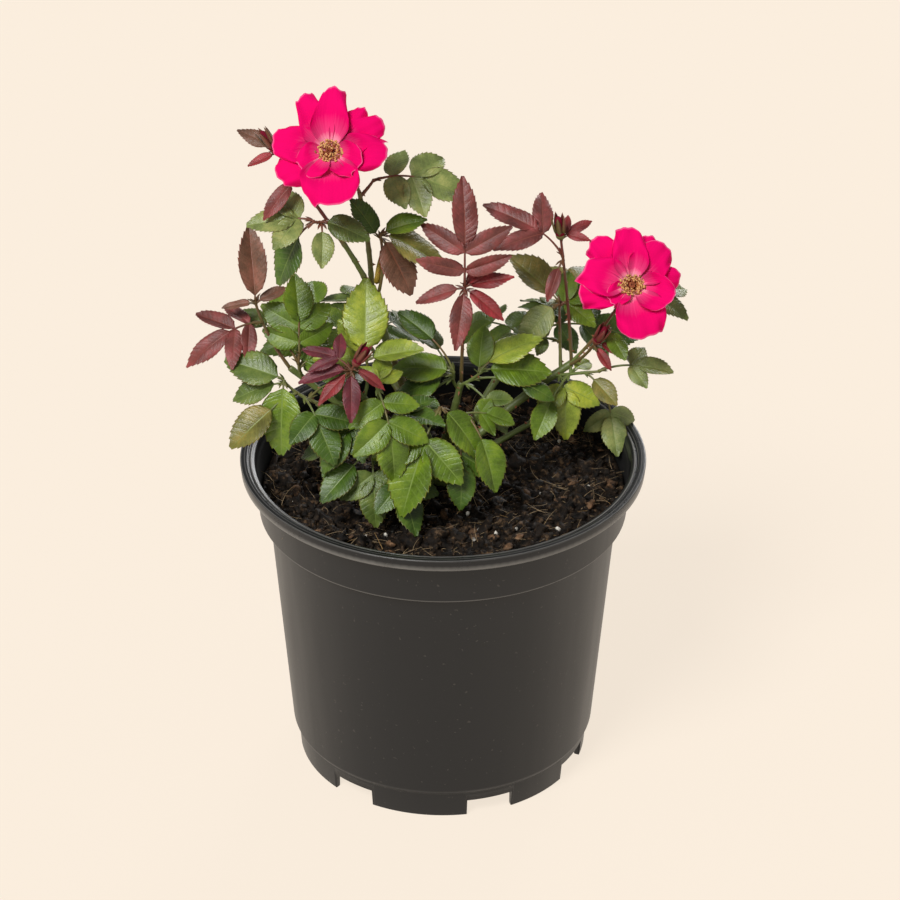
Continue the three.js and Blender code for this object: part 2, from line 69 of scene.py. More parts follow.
# The pot
POT_HEIGHT = 234
RIM_RADIUS = 140
RIM_FACE = 8.4
RIM_UNDERSIDE_RADIUS = 139.2
RIM_BAND = 5.5
RIM_GROOVE_WIDTH = 1.6
RIM_GROOVE_DEPTH = 2
RIM_LIP_WIDTH = 3
COLLAR_LEDGE_HEIGHT = 194
COLLAR_RADIUS = 127.5
COLLAR_TOP_RADIUS = 129.5
WALL_TOP_RADIUS = 120.8
WALL_FOOT_RADIUS = 107.3
WALL_THICKNESS = 2.4
FOOT_HEIGHT = 22
FOOT_TOP_RADIUS = 104.2
FOOT_RADIUS = 102.6
FOOT_THICKNESS = 4
FOOT_STEP = 2
FLOOR_UNDERSIDE = 14
FLOOR_TOP = 17
NOTCH_ANGLES = [-37.5, 19, 64, 115, 167, 219, 270]
NOTCH_SWEEP = 18.5
NOTCH_HEIGHT = 13

# The soil and the short stem that all canes grow from
SOIL_LEVEL = 212
CLEARANCE = 0.3
STEM_TOP = 240
STEM_BEND = 226
STEM_RADII = (8.5, 6)

# Leaves: a stalk with leaflets in pairs and one at its end. Widths are shares of the length.
LEAFLET_WIDTH = 0.62
YOUNG_LEAFLET_WIDTH = 0.44
LEAFLET_THICKNESS = 1
LEAFLET_FOLD = 0.1
LEAFLET_SAG = 0.3
LEAFLET_TILT = 0.5
LEAFLET_SPREAD = 0.16
BLADE_MIDDLE = 0.3
BLADE_TAPER = 0.24
ROOT_SINK = 0.5
TWIG_RADII = [1.7, 1.2]
STALK_RADII = [1.4, 1.1]
STALK_DROOP = 34
TWIG_SHOWN = (1.3, 0.85)
PAIRS = [(0.84, 58, 0.84), (0.4, 72, 0.72)]
LEAN_TO_LIGHT = 1.4
LIGHT = Vector((0.1, -0.7, 0.7))
WOBBLE = 9
NUDGES = [0, 14, -14, 28, -28, 42]
BUD_RADIUS = 4.6
BUD_LENGTH = 17

# Each bough is one tapering limb. It leaves its carrier's axis at a share of its length, and runs
# to its tip by way of a bend.
BOUGHS = {
    "cane_left": {
        "on": "crown_stem", "at": 0.35, "bend": [-34, 4, 292], "tip": [-48, 8, 354], "radii": [3.4, 2.6],
    },
    "cane_left_top": {
        "on": "cane_left", "at": 1, "bend": [-58, -2, 384], "tip": [-76, -10, 416], "radii": [1.9, 1.6],
    },
    "cane_left_bloom": {
        "on": "cane_left", "at": 1, "bend": [-50, 18, 392], "tip": [-56, 10, 428], "radii": [1.9, 1.5],
    },
    "cane_left_side": {
        "on": "crown_stem", "at": 0.13, "bend": [-62, -8, 268], "tip": [-104, -6, 304], "radii": [3, 2],
    },
    "cane_left_front": {
        "on": "crown_stem", "at": 0.5, "bend": [-34, -30, 272], "tip": [-58, -38, 304], "radii": [2.8, 2],
    },
    "cane_left_low": {
        "on": "crown_stem", "at": 0.31, "bend": [-46, -42, 258], "tip": [-84, -44, 298], "radii": [2.6, 1.9],
    },
    "cane_centre": {
        "on": "crown_stem", "at": 1, "bend": [6, -3, 262], "tip": [12, -4, 292], "radii": [3, 2.2],
    },
    "cane_right": {
        "on": "crown_stem", "at": 0.35, "bend": [42, 16, 262], "tip": [88, 27, 290], "radii": [3.6, 2.6],
    },
    "cane_right_low": {
        "on": "crown_stem", "at": 0.1, "bend": [58, 34, 240], "tip": [102, 44, 256], "radii": [2.2, 1.8],
    },
    "cane_front": {
        "on": "crown_stem", "at": 0.13, "bend": [6, -26, 252], "tip": [2, -36, 284], "radii": [2.6, 1.9],
    },
    "cane_low": {
        "on": "crown_stem", "at": 0.08, "bend": [-20, -32, 238], "tip": [-38, -42, 256], "radii": [2.2, 1.8],
    },
    "cane_back_left": {
        "on": "crown_stem", "at": 0.2, "bend": [-26, 38, 256], "tip": [-48, 58, 280], "radii": [3, 2.2],
    },
    "cane_back_right": {
        "on": "crown_stem", "at": 0.06, "bend": [26, 40, 256], "tip": [54, 66, 284], "radii": [3, 2.2],
    },
}

# The petals of the two blooms: direction round the eye, length, width and lift.
PETALS_LEFT = [
    [92, 41, 27, 14], [122, 41, 24, 8], [172, 38, 25, 8], [206, 37, 25, 2], [219, 22, 22, 24],
    [279, 34, 37, 12], [338, 24, 22, 26], [3, 36, 24, 10], [36, 38, 25, 8], [60, 35, 20, 2],
]
PETALS_RIGHT = [
    [90, 38, 25, 14], [124, 39, 24, 6], [160, 34, 26, 12], [187, 34, 23, 4], [210, 19, 15, 24],
    [283, 36, 33, 10], [337, 29, 24, 24], [8, 33, 21, 4], [46, 35, 27, 12], [64, 36, 19, 2],
]

# Each mass grows on from a bough's tip: a stem, and leaves by share of the stem, heading
# (0 right, 90 back, 180 left, -90 front), rise, stalk length, pairs and leaflet length.
MASSES = {
    "bloom_left": {
        "on": "cane_left_bloom", "bend": [-62, 2, 450], "tip": [-72, -20, 469],
        "leaves": [[0.62, 150, 14, 25, 1, 24]],
        "bloom": {"petals": PETALS_LEFT, "centre": [-73, -25, 473], "facing": [-0.14, -0.8, 0.58]},
    },
    "green_spray_top": {
        "on": "cane_left_bloom", "at": 0.95, "bend": [-48, 14, 432], "tip": [-47, 15, 434],
        "leaves": [[1, -8, 8, 33, 2, 34]],
    },
    "bronze_spray": {
        "on": "cane_left", "at": 0.94, "bend": [-38, 0, 372], "tip": [-42, -2, 402],
        "leaves": [
            [1, -10, 2, 6, 0, 44], [1, 10, 36, 5, 0, 28], [0.97, -38, -26, 5, 0, 38],
            [0.95, 150, 40, 6, 0, 27], [0.1, 0, 4, 32, 1, 29],
        ],
    },
    "green_spray_left": {
        "on": "cane_left_top", "bend": [-82, -16, 418], "tip": [-85, -18, 420],
        "leaves": [
            [1, 178, 10, 12, 1, 33], [0.98, -156, -38, 15, 0, 36], [0.5, -20, 12, 6, 0, 27],
            [0.4, -84, -30, 8, 0, 22],
        ],
    },
    "red_tuft_left": {
        "on": "cane_left_top", "at": 0.96, "bend": [-92, -4, 438], "tip": [-110, -2, 464], "young": True,
        "leaves": [[0.97, 152, 40, 6, 0, 26], [0.6, -140, -14, 6, 0, 27], [0.95, 196, 0, 4, 0, 16]],
        "bud": True,
    },
    "red_shoot_left": {
        "on": "cane_left_side", "bend": [-120, -2, 326], "tip": [-126, -6, 354], "young": True,
        "leaves": [
            [1, 95, 80, 5, 0, 43], [0.97, 186, 16, 4, 0, 20], [0.97, 22, 42, 4, 0, 22],
            [0.7, 205, -4, 25, 2, 37],
        ],
    },
    "green_left_side": {
        "on": "cane_left_side", "at": 0.9, "bend": [-99, -12, 308], "tip": [-97, -10, 316],
        "leaves": [[1, 92, 74, 24, 2, 33], [0.6, 155, 46, 36, 0, 22], [0.4, 20, 40, 8, 1, 22]],
    },
    "red_shoot_middle": {
        "on": "cane_left_front", "bend": [-68, -54, 318], "tip": [-57, -60, 338], "young": True,
        "leaves": [
            [0.8, 155, 34, 14, 1, 25], [0.8, 186, 12, 5, 0, 30], [0.78, -145, -12, 5, 0, 25],
            [0.8, -92, -42, 4, 0, 28], [0.84, -20, -4, 4, 0, 20],
        ],
        "bud": True,
    },
    "front": {
        "on": "cane_front", "bend": [1, -42, 294], "tip": [-2, -46, 296],
        "leaves": [[1, -118, -38, 32, 1, 45], [0.9, -34, -22, 6, 0, 35], [0.6, -165, -24, 26, 0, 32]],
    },
    "bright_spray": {
        "on": "cane_left_front", "at": 0.9, "bend": [-48, -28, 312], "tip": [-52, -32, 326],
        "leaves": [
            [1, 95, 74, 6, 0, 43], [1, 140, 54, 5, 0, 28], [0.9, 182, 22, 6, 0, 31], [0.9, 2, 28, 6, 0, 33],
        ],
    },
    "left_low": {
        "on": "cane_left_low", "bend": [-100, -42, 304], "tip": [-106, -42, 314],
        "leaves": [
            [1, -95, -40, 6, 0, 46], [0.97, 168, 34, 6, 0, 38], [0.86, 184, 2, 9, 0, 30],
            [0.5, -152, -22, 22, 0, 35], [0.3, -62, -22, 20, 1, 31], [0.2, 40, 16, 22, 1, 28],
        ],
    },
    "front_left": {
        "on": "cane_left_front", "at": 0.7, "bend": [-42, -42, 298], "tip": [-44, -47, 312],
        "leaves": [
            [1, -68, -40, 32, 2, 35], [0.9, 80, 44, 8, 1, 20], [0.4, -140, -24, 30, 1, 30],
            [0.2, -30, 6, 22, 1, 27],
        ],
    },
    "red_shoot_centre": {
        "on": "cane_centre", "bend": [13, -10, 332], "tip": [14, -16, 372], "young": True,
        "leaves": [
            [1, 90, 84, 30, 2, 42], [0.97, -100, -38, 4, 0, 34], [0.97, 188, 6, 5, 0, 31],
            [0.97, 34, 52, 4, 0, 25], [0.98, 8, 30, 4, 0, 30], [0.96, -22, -4, 4, 0, 29],
        ],
    },
    "centre_left": {
        "on": "cane_centre", "at": 0.9, "bend": [4, -6, 296], "tip": [7, -12, 304],
        "leaves": [
            [1, 174, 22, 5, 0, 33], [1, 150, 52, 28, 0, 32], [0.8, -166, 0, 8, 0, 35],
            [0.4, 124, 40, 26, 0, 27], [0.6, -150, -26, 26, 1, 27],
        ],
    },
    "centre_right": {
        "on": "cane_centre", "at": 0.96, "bend": [20, -8, 296], "tip": [25, -10, 303],
        "leaves": [
            [1, 2, 20, 8, 0, 42], [1, 18, 48, 10, 0, 38], [0.9, 84, 66, 5, 0, 28],
            [0.5, -10, 2, 36, 0, 24], [0.2, -40, -22, 24, 1, 21],
        ],
    },
    "bud_shoot_right": {
        "on": "cane_right", "bend": [86, 27, 330], "tip": [78, 15, 394], "young": True,
        "leaves": [[0.86, 162, 44, 26, 1, 39], [0.84, -120, -30, 8, 0, 22], [0.97, 24, 42, 7, 1, 18]],
        "bud": True,
    },
    "olive_spray": {
        "on": "cane_right", "at": 0.92, "bend": [80, 38, 308], "tip": [79, 34, 332],
        "leaves": [
            [1, 150, 52, 8, 0, 38], [1, -154, -14, 6, 0, 30], [0.96, 20, 34, 6, 1, 30],
            [0.4, 184, 8, 28, 2, 19],
        ],
    },
    "bloom_right": {
        "on": "cane_right", "at": 0.96, "bend": [110, 30, 312], "tip": [124, 2, 362],
        "leaves": [[0.7, 34, 12, 38, 1, 34], [0.55, -60, -10, 9, 0, 22]],
        "bloom": {"petals": PETALS_RIGHT, "centre": [125, -2, 365], "facing": [0.1, -0.8, 0.58]},
    },
    "bud_right": {
        "on": "cane_right", "at": 0.98, "bend": [97, 16, 300], "tip": [104, 8, 318], "young": True,
        "leaves": [[0.9, -10, 4, 5, 0, 18], [0.88, -48, -26, 4, 0, 17]],
        "bud": True,
    },
    "green_right": {
        "on": "cane_right", "at": 0.86, "bend": [96, 14, 290], "tip": [106, 12, 292],
        "leaves": [
            [1, 0, 10, 28, 1, 24], [0.12, -74, -30, 12, 1, 32], [0.3, 40, 30, 6, 0, 18],
            [0.6, -44, -12, 10, 0, 21], [0.3, -128, -30, 26, 0, 29],
        ],
    },
    "droop_right": {
        "on": "cane_right_low", "bend": [108, 44, 260], "tip": [112, 44, 260],
        "leaves": [[1, -60, -60, 20, 1, 26]],
    },
    "front_right": {
        "on": "cane_front", "at": 0.88, "bend": [8, -38, 290], "tip": [15, -40, 288],
        "leaves": [[1, -52, -34, 22, 0, 38], [0.6, -84, -44, 36, 1, 32], [0.3, 6, 4, 24, 1, 22]],
    },
    "low_centre": {
        "on": "cane_low", "bend": [-44, -46, 262], "tip": [-48, -50, 266],
        "leaves": [
            [1, -84, -42, 22, 1, 32], [0.7, 172, 6, 26, 1, 30], [0.3, -60, -24, 34, 1, 30],
            [0.8, 176, 42, 20, 1, 26], [0.9, -140, -20, 18, 0, 30],
        ],
    },
    "back_left": {
        "on": "cane_back_left", "bend": [-60, 66, 300], "tip": [-68, 70, 302],
        "leaves": [
            [0.2, 60, 0, 40, 2, 34], [0.4, 200, 10, 40, 2, 34], [0.7, 90, 10, 30, 2, 32],
            [1, 150, 6, 30, 1, 34],
        ],
    },
    "back_right": {
        "on": "cane_back_right", "bend": [66, 70, 292], "tip": [74, 74, 304],
        "leaves": [
            [0.2, 140, 0, 40, 2, 34], [0.5, 10, 0, 40, 2, 34], [0.8, 80, 0, 24, 2, 30],
            [1, 50, 30, 28, 1, 34],
        ],
    },
}

# The tint of each mass's leaves, leaf by leaf, and round again. The pale tint is painted light, for the
# leaves that the light falls on.
SPRAY_TINTS = {
    "bloom_left": ["bronze"],
    "green_spray_top": ["pale"],
    "bronze_spray": ["olive", "fresh", "bronze", "deep", "fresh"],
    "green_spray_left": ["pale", "deep", "blue"],
    "red_tuft_left": ["bronze", "plum", "red"],
    "red_shoot_left": ["bronze", "bronze", "bronze", "plum"],
    "green_left_side": ["fresh", "blue", "fresh"],
    "red_shoot_middle": ["wine", "wine", "red", "wine", "red"],
    "front": ["fresh", "fresh", "deep"],
    "bright_spray": ["bright"],
    "left_low": ["fresh", "blue", "blue", "olive", "deep", "deep"],
    "front_left": ["fresh", "bright", "deep", "deep"],
    "red_shoot_centre": ["plum", "plum", "plum", "red", "red", "red"],
    "centre_left": ["fresh", "deep", "deep", "blue", "deep"],
    "centre_right": ["fresh", "bright", "fresh", "deep", "blue"],
    "bud_shoot_right": ["plum", "plum", "red"],
    "olive_spray": ["olive", "pale", "fresh", "blue"],
    "bloom_right": ["pale", "fresh"],
    "bud_right": ["red"],
    "green_right": ["pale", "bright", "bright", "olive", "fresh"],
    "droop_right": ["pale"],
    "front_right": ["fresh", "deep"],
    "low_centre": ["blue", "deep", "deep", "deep", "deep"],
    "back_left": ["deep", "fresh", "blue", "fresh"],
    "back_right": ["fresh", "deep", "blue", "olive"],
}


# The dice: each number is worked out from the one before it
DICE_RANGE = 2**32
DICE_FACTOR, DICE_STEP = 1664525, 1013904223
SEED_FACTOR, SEED_STEP = 7919, 104729
# Where the seeds of each kind of shape begin
CLOD_SEED, CHIP_SEED, GRAIN_SEED, STRAW_SEED, ROOT_SEED = 20, 30, 40, 50, 56
LEAFLET_SEED, PETAL_SEED, STAMEN_SEED, STYLE_SEED, THORN_SEED = 60, 70, 80, 95, 900
# Seeds from one mass of leaves to the next
MASS_SEEDS = 100


def dice(seed):
    """Seeded numbers from 0 to 1, the same on every run."""
    state = (seed * SEED_FACTOR + SEED_STEP) % DICE_RANGE

    def roll():
        nonlocal state
        state = (state * DICE_FACTOR + DICE_STEP) % DICE_RANGE
        return state / DICE_RANGE

    return roll


def bearing(heading, rise):
    """The direction of a heading and a rise, both in degrees."""
    heading, rise = math.radians(heading), math.radians(rise)
    level = math.cos(rise)
    return Vector((level * math.cos(heading), level * math.sin(heading), math.sin(rise)))


def across(direction, axis):
    """What is left of a direction across another one, at unit length."""
    return (direction - axis * direction.dot(axis)).normalized()


def turns(count):
    """Angles in even steps once round."""
    return [2 * math.pi * k / count for k in range(count)]


def spoke(side, other, turn):
    """The direction at a turn from one side towards another."""
    return side * math.cos(turn) + other * math.sin(turn)


def hump(value, middle, width):
    """1 where a number meets a middle, and softly down to 0 on both sides."""
    return math.exp(-(((value - middle) / width) ** 2))


def taper(foot, tip):
    """A radius that runs evenly from a limb's foot to its tip."""
    return lambda share: foot + (tip - foot) * share


class Curve:
    """A line that leaves its start towards a bend and reaches its end from there."""

    steps = 12

    def __init__(self, start, bend, end):
        self.start, self.bend, self.end = Vector(start), Vector(bend), Vector(end)

    def point(self, share):
        """The point at a share of the way."""
        rest = 1 - share
        return self.start * rest**2 + self.bend * (2 * rest * share) + self.end * share**2

    def tangent(self, share):
        """The direction that the line runs in at a share of the way."""
        ahead = (self.bend - self.start) * (1 - share) + (self.end - self.bend) * share
        return ahead.normalized()

    def length(self):
        """The length, by straight steps."""
        places = [self.point(step / self.steps) for step in range(self.steps + 1)]
        return sum((far - near).length for near, far in zip(places, places[1:]))


def stalk_curve(start, heading, rise, reach):
    """A stalk: it starts half its droop steeper than its mean rise, and ends as much flatter."""
    knee = start + bearing(heading, rise + STALK_DROOP / 2) * (reach / 2)
    end = knee + bearing(heading, rise - STALK_DROOP / 2) * (reach / 2)
    return Curve(start, knee, end)


def leaflets(curve, heading, size, pairs, roll):
    """The leaflets of one leaf: their roots, directions, faces and lengths."""
    found = []
    turned = math.radians(heading)
    level = Vector((math.sin(turned), -math.cos(turned), 0))
    places = [(1, 0, 1)]
    for place, angle, share in PAIRS[:pairs]:
        places += [(place, angle, share), (place, -angle, share)]
    for place, angle, share in places:
        ahead = curve.tangent(place)
        up = level.cross(ahead).normalized()
        face = across(up + LIGHT * LEAN_TO_LIGHT, ahead)
        side = ahead.cross(face)
        turn = math.radians(angle + WOBBLE * (roll() - 0.5))
        along = spoke(ahead, side, turn)
        along = (along + face * (LEAFLET_SAG * (roll() - 0.7))).normalized()
        tilted = face + side * (LEAFLET_TILT * (roll() - 0.5))
        length = size * share * (1 + LEAFLET_SPREAD * (roll() - 0.5))
        found.append((curve.point(place), along, across(tilted, along), length))
    return found


def blade_faces(root, along, face, length, width, thickness):
    """The plain blade that a leaflet is kept clear of its neighbours by."""
    side = along.cross(face)
    poles = [root + along * (BLADE_MIDDLE * length) + face * (turn * thickness / 2) for turn in (1, -1)]
    ring = []
    for angle in turns(6):
        out = 0.5 + 0.5 * math.cos(angle)
        wide = math.sin(angle) * (1 + BLADE_TAPER * (BLADE_MIDDLE - out))
        lift = LEAFLET_FOLD * abs(wide) * width
        ring.append(root + along * (out * length) + side * (wide * width / 2) + face * lift)
    pairs = [(step, (step + 1) % 6) for step in range(6)]
    return poles + ring, [(pole, 2 + a, 2 + b) for pole in (0, 1) for a, b in pairs]


def limb_faces(curve, radii, sides, steps):
    """The plain tube that a limb is kept clear of its neighbours by."""
    shape = Shape()
    shape.tube(curve, taper(*radii), sides, steps)
    return shape.corners, shape.faces


class Plan:
    """Where every limb, stem, stalk and leaflet of the bush is, worked out by its rule."""

    def __init__(self):
        self.curves = {"crown_stem": Curve((0, 0, SOIL_LEVEL), (0, 0, STEM_BEND), (0, 0, STEM_TOP))}
        self.taken = {}
        self.stalks = []
        self.blades = []
        self.keep("soil", *ring_faces([(0, SOIL_LEVEL), (COLLAR_RADIUS, SOIL_LEVEL)]))
        ledge = (COLLAR_RADIUS, POT_HEIGHT - RIM_FACE)
        self.keep("pot", *ring_faces([(COLLAR_RADIUS, SOIL_LEVEL), ledge, (RIM_RADIUS, POT_HEIGHT)]))
        for name, bough in BOUGHS.items():
            curve = self.grow(name, bough)
            self.keep(name, *limb_faces(curve, bough["radii"], sides=5, steps=6))
        for seed, (name, mass) in enumerate(MASSES.items(), 1):
            self.mass(name, mass, seed)

    def keep(self, name, corners, faces):
        """Keeps a body's faces, so that what comes later stays clear of them."""
        self.taken.setdefault(name, []).append(BVHTree.FromPolygons(corners, faces))

    def grow(self, name, row):
        """The curve of a bough or stem, from the axis of what carries it."""
        start = self.curves[row["on"]].point(row.get("at", 1))
        self.curves[name] = Curve(start, row["bend"], row["tip"])
        return self.curves[name]

    def is_free(self, own, corners, faces):
        """Whether a body touches nothing but its own mass."""
        tree = BVHTree.FromPolygons(corners, faces)
        return not any(
            tree.overlap(other) for name, trees in self.taken.items() if name != own for other in trees
        )

    def mass(self, name, mass, seed):
        """Grows a mass: its stem, and the stalks and leaflets that find room."""
        stem = self.grow(name, mass)
        self.keep(name, *limb_faces(stem, TWIG_RADII, sides=3, steps=4))
        share_wide = YOUNG_LEAFLET_WIDTH if mass.get("young") else LEAFLET_WIDTH
        for index, (share, heading, rise, reach, pairs, size) in enumerate(mass["leaves"]):
            roll = dice(seed * MASS_SEEDS + index)
            stalk = stalk_curve(stem.point(share), heading, rise, reach)
            way = limb_faces(stalk, STALK_RADII, sides=3, steps=2)
            if not self.is_free(name, *way):
                continue
            self.keep(name, *way)
            self.stalks.append((name, stalk))
            for root, along, face, length in leaflets(stalk, heading, size, pairs, roll):
                blade = self.free_blade(name, root, along, face, length, share_wide)
                if blade:
                    self.blades.append((name, index, *blade))

    def free_blade(self, name, root, along, face, length, share_wide):
        """A leaflet, tilted a little further where it would touch a neighbour, or nothing."""
        for nudge in NUDGES:
            turn = Quaternion(along.cross(face), math.radians(nudge))
            ahead, top = turn @ along, turn @ face
            start = root - ahead * ROOT_SINK
            width = length * share_wide
            body = (start, ahead, top, length + ROOT_SINK, width)
            if self.is_free(name, *blade_faces(*body, LEAFLET_THICKNESS + 2 * CLEARANCE)):
                self.keep(name, *blade_faces(*body, LEAFLET_THICKNESS))
                return start, ahead, top, length + ROOT_SINK, width
        return None


class Shape:
    """A mesh in the making: corners in millimetres, and faces with the number of their finish."""

    def __init__(self):
        self.corners = []
        self.faces = []
        self.finishes = []
        self.patterns = {}

    def ring(self, radius, height, facets):
        """A level row of corners round the pot's axis. A height may be worked out from x and y."""
        row = []
        for turn in turns(facets):
            x, y = radius * math.sin(turn), -radius * math.cos(turn)
            row.append(self.corner((x, y, height(x, y) if callable(height) else height)))
        return row

    def corner(self, place, pattern=(0, 0)):
        """Adds a corner, with its place on the piece's own pattern."""
        self.patterns[len(self.corners)] = pattern
        self.corners.append(Vector(place))
        return len(self.corners) - 1

    def face(self, corners, finish=0):
        """Adds a face between corners."""
        self.faces.append(tuple(corners))
        self.finishes.append(finish)

    def rows(self, rows, finish=0, closed=False):
        """Faces between one row of corners and the next; closed rows go round."""
        for near, far in zip(rows, rows[1:]):
            count = len(near)
            for k in range(count if closed else count - 1):
                after = (k + 1) % count
                self.face([near[k], near[after], far[after], far[k]], finish)

    def fan(self, middle, row, finish=0):
        """Faces from one corner to each edge of a closed row."""
        for k, near in enumerate(row):
            self.face([middle, near, row[(k + 1) % len(row)]], finish)

    def tube(self, curve, radius, sides, steps, finish=0, relief=None):
        """A closed limb along a curve. Relief adds to the radius by angle and share."""
        rings = []
        side = curve.tangent(0).orthogonal()
        for step in range(steps + 1):
            share = step / steps
            ahead = curve.tangent(share)
            side = across(side, ahead)
            other = ahead.cross(side)
            ring = []
            for turn in turns(sides):
                wide = radius(share) + (relief(turn, share) if relief else 0)
                ring.append(self.corner(curve.point(share) + spoke(side, other, turn) * wide))
            rings.append(ring)
        self.rows(rings, finish, closed=True)
        for share, ring in ((0, rings[0]), (1, rings[-1])):
            bulge = curve.tangent(share) * (radius(share) * (0.5 if share else -0.5))
            self.fan(self.corner(curve.point(share) + bulge), ring, finish)

    def ball(self, middle, axis, radii, sides, steps, finish=0, swell=None):
        """A closed round body along an axis, with its radius by share of its length."""
        axis = Vector(axis).normalized()
        side = axis.orthogonal().normalized()
        other = axis.cross(side)
        rings = []
        for step in range(1, steps):
            share = step / steps
            wide = radii[0] * (swell(share) if swell else math.sin(math.pi * share))
            level = Vector(middle) - axis * (radii[1] * math.cos(math.pi * share))
            rings.append([self.corner(level + spoke(side, other, turn) * wide) for turn in turns(sides)])
        self.rows(rings, finish, closed=True)
        for end, ring in ((-1, rings[0]), (1, rings[-1])):
            self.fan(self.corner(Vector(middle) + axis * (end * radii[1])), ring, finish)

    def mesh(self, name, finishes, scale=MM, attribute=None):
        """The mesh itself, with its faces turned outwards. A lone finish serves every face."""
        mesh = bpy.data.meshes.new(name)
        mesh.from_pydata([tuple(place * scale) for place in self.corners], [], self.faces)
        last = max(len(finishes) - 1, 0)
        mesh.polygons.foreach_set("material_index", [min(finish, last) for finish in self.finishes])
        for finish in finishes:
            mesh.materials.append(finish)
        if attribute:
            layer = mesh.attributes.new(attribute, "INT", "FACE")
            layer.data.foreach_set("value", self.finishes)
        if any(pattern != (0, 0) for pattern in self.patterns.values()):
            layer = mesh.uv_layers.new(name="Pattern")
            for loop in mesh.loops:
                layer.data[loop.index].uv = self.patterns[loop.vertex_index]
        turn_outwards(mesh)
        mesh.shade_smooth()
        return mesh

    def piece(self, name, finishes):
        """The shape as an object of the same name."""
        return show(name, self.mesh(name, finishes))


def turn_outwards(mesh):
    """Turns the faces of a closed mesh outwards."""
    edit = bmesh.new()
    edit.from_mesh(mesh)
    bmesh.ops.recalc_face_normals(edit, faces=edit.faces)
    edit.to_mesh(mesh)
    edit.free()


def ring_faces(profile, facets=40):
    """The faces of a profile of radius and height, turned round the pot's axis."""
    shape = Shape()
    shape.rows([shape.ring(*point, facets) for point in profile], closed=True)
    return shape.corners, shape.faces


def show(name, mesh):
    """A piece at the origin, unturned and unscaled."""
    piece = bpy.data.objects.new(name, mesh)
    bpy.context.scene.collection.objects.link(piece)
    return piece


def finish_piece(piece, slot, *nodes):
    """Makes a piece ride with the bush, and hides the nodes that it stands for. The slot is not used."""
    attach(piece, BODY)
    if nodes:
        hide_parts(*nodes)


def remove(piece):
    """Removes a helper object and its mesh."""
    mesh = piece.data
    bpy.data.objects.remove(piece)
    bpy.data.meshes.remove(mesh)


class Value:
    """A node's socket that can be reckoned with like a number."""

    def __init__(self, graph, node, socket):
        self.graph, self.node, self.socket = graph, node, socket

    def out(self, name):
        """Another output of the same node."""
        return Value(self.graph, self.node, self.node.outputs[name])

    def __add__(self, other):
        return self.graph.maths("ADD", self, other)

    def __sub__(self, other):
        return self.graph.maths("SUBTRACT", self, other)

    def __rsub__(self, other):
        return self.graph.maths("SUBTRACT", other, self)

    def __mul__(self, other):
        return self.graph.maths("MULTIPLY", self, other)

    __radd__ = __add__
    __rmul__ = __mul__


class Graph:
    """Fills a node tree, one call for each node."""

    def __init__(self, tree):
        self.tree = tree

    def add(self, kind, settings=None, sockets=None):
        """Adds a node by its type, its settings, and the values or links of its sockets."""
        node = self.tree.nodes.new(kind)
        for name, value in (settings or {}).items():
            if name == "stops":
                self.set_stops(node.color_ramp, value)
            else:
                setattr(node, name, value)
        for key, value in (sockets or {}).items():
            if isinstance(value, Value):
                self.tree.links.new(value.socket, node.inputs[key])
            else:
                node.inputs[key].default_value = value
        return Value(self, node, node.outputs[0] if node.outputs else None)

    def set_stops(self, ramp, stops):
        """Gives a ramp its stops, each a place and a colour."""
        while len(ramp.elements) < len(stops):
            ramp.elements.new(1)
        for element, (place, colour) in zip(ramp.elements, stops):
            element.position, element.color = place, (*colour, 1)

    def mix(self, share, first, second):
        """One colour turning into another by a share."""
        sockets = {"Factor": share, "A": first, "B": second}
        return self.add("ShaderNodeMix", {"data_type": "RGBA"}, sockets).out("Result")

    def maths(self, operation, first, second=0.0):
        """One step of reckoning on a value, or on two."""
        return self.add("ShaderNodeMath", {"operation": operation}, {0: first, 1: second})

    def part(self, vector, axis):
        """The X, Y or Z of a vector."""
        return self.add("ShaderNodeSeparateXYZ", None, {0: vector}).out(axis)

    def noise(self, places, scale, detail=3.0, roughness=0.5):
        """Soft noise from 0 to 1 over some places."""
        sockets = {"Vector": places, "Scale": scale, "Detail": detail, "Roughness": roughness}
        return self.add("ShaderNodeTexNoise", None, sockets)

    def peak(self, value, middle, width):
        """1 where a value meets a middle, and 0 from a width away."""
        away = self.maths("ABSOLUTE", value - middle)
        return self.maths("MAXIMUM", 1 - away * (1 / width))

    def ramp(self, share, *stops):
        """Colours by share, from stops that each hold a place and a colour."""
        return self.add("ShaderNodeValToRGB", {"stops": stops}, {"Fac": share})

    def between(self, value, low, high, start=0, end=1):
        """A share that goes from start to end as a value goes from low to high."""
        return self.ramp(value, (low, (start,) * 3), (high, (end,) * 3))

    def stretched(self, places, scale):
        """Places drawn together or apart along each axis."""
        return self.add("ShaderNodeMapping", None, {"Vector": places, "Scale": scale})


def linear(colour):
    """A colour from a property, with its alpha."""
    return (*colour[:3], 1.0)


def shaded(colour, factor):
    """A colour made lighter or darker."""
    return tuple(min(part * factor, 1.0) for part in colour[:3])


def mixed(first, second, share):
    """A share of the way from one colour to another."""
    return tuple(a + (b - a) * share for a, b in zip(first, second))


def new_finish(name, colour, roughness, build=None, **uniform):
    """A material on a principled shader: build links what changes over the surface, and uniform
    sets what is the same all over, by the socket's name."""
    finish = bpy.data.materials.new(name)
    finish.use_nodes = True
    finish.node_tree.nodes.clear()
    graph = Graph(finish.node_tree)
    sockets = {"Base Color": linear(colour), "Roughness": roughness}
    sockets.update({key.replace("_", " "): value for key, value in uniform.items()})
    if build:
        sockets.update(build(graph))
    shader = graph.add("ShaderNodeBsdfPrincipled", None, sockets)
    graph.add("ShaderNodeOutputMaterial", None, {"Surface": shader})
    finish.diffuse_color = linear(colour)
    return finish


def object_places(graph):
    """Where a point lies on the piece, in metres."""
    return graph.add("ShaderNodeTexCoord").out("Object")


